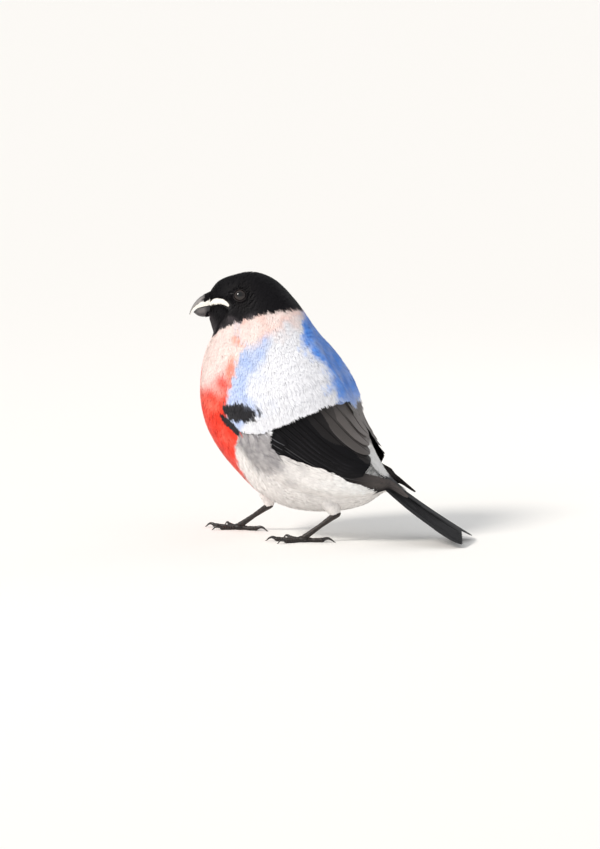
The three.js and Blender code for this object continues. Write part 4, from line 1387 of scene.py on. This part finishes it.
def makeLeg(name, leg):
    toes = [makeToe(leg, toe) for toe in foot["toes"]]
    bare = makeMesh("leg_" + name, *together([makeShank(leg), *toes, footBall(leg)]), legScales, rim=40)
    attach(bare, "root")
    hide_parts(*[node + name for node in ("tarsus_", "foot_", "toe_1_", "toe_2_", "toe_3_", "toe_4_")])
    talons = makeMesh("talons_" + name, *together([makeClaw(leg, toe) for toe in foot["toes"]]), clawHorn)
    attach(talons, "root")
    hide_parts(*[f"claw_{number}_{name}" for number in (1, 2, 3, 4)])


for name in sides:
    makeLeg(name, legs[name])
print("legs made")


# Stage, light and camera

def makeStage():
    mesh = bpy.data.meshes.new("floor")
    half = 30.0
    corners = [(-half, -half, 0), (half, -half, 0), (half, half, 0), (-half, half, 0)]
    mesh.from_pydata(corners, [], [(0, 1, 2, 3)])
    paper = {"Base Color": (*linear("#FCFBF8"), 1), "Roughness": 0.9, "Specular IOR Level": 0.1}
    mesh.materials.append(newMaterial("floorPaper", paper)[0])
    floor = bpy.data.objects.new("floor", mesh)
    bpy.context.scene.collection.objects.link(floor)


def addLight(name, kind, place, strength, colour="#FFFFFF", **settings):
    # a light at a place in metres, looking at the middle of the bird
    data = bpy.data.lights.new(name, kind)
    data.energy = strength
    data.color = linear(colour)
    for setting, value in settings.items():
        setattr(data, setting, value)
    light = bpy.data.objects.new(name, data)
    light.location = place
    light.rotation_euler = lookFrom(np.array(place, float) - np.array([0, 0, 0.055]))
    bpy.context.scene.collection.objects.link(light)


def lookFrom(back):
    # the turn that makes an object at the end of back look along it to its start, upright
    flat = math.hypot(back[0], back[1])
    return (math.atan2(flat, back[2]), 0, math.atan2(back[0], -back[1]))


camera = {
    "azimuth": 14, "elevation": 8,
    "metresPerPixel": 0.00041, "imageHeight": 849,
    "target": (-0.0119, 0.0465),  # sideways and upwards in the picture's plane
    "lens": 150, "sensor": 36,
}


def makeCamera():
    a, e = math.radians(camera["azimuth"]), math.radians(camera["elevation"])
    back = np.array([math.sin(a) * math.cos(e), -math.cos(a) * math.cos(e), math.sin(e)])
    right = np.array([math.cos(a), math.sin(a), 0])
    up = np.cross(back, right)
    distance = camera["metresPerPixel"] * camera["imageHeight"] * camera["lens"] / camera["sensor"]
    target = right * camera["target"][0] + up * camera["target"][1]
    data = bpy.data.cameras.new("camera")
    data.lens, data.sensor_width = camera["lens"], camera["sensor"]
    data.clip_start, data.clip_end = 0.05, 200
    view = bpy.data.objects.new("camera", data)
    view.location = target + back * distance
    view.rotation_euler = lookFrom(back)
    bpy.context.scene.collection.objects.link(view)
    bpy.context.scene.camera = view


makeStage()
makeCamera()
addLight("daylight", "SUN", (-0.6, -0.55, 0.75), 2.0, "#FFF9F2", angle=math.radians(14))
addLight("window", "AREA", (-0.3, -0.42, 0.4), 0.25, shape="DISK", size=0.1)
addLight("rim", "AREA", (0.3, 0.45, 0.35), 0.25, shape="DISK", size=0.3)
world = bpy.data.worlds.new("studio")
world.use_nodes = True
background = world.node_tree.nodes["Background"]
background.inputs["Color"].default_value = (*linear("#F4F5F7"), 1)
background.inputs["Strength"].default_value = 0.67
bpy.context.scene.world = world
bpy.context.scene.view_settings.view_transform = "Standard"
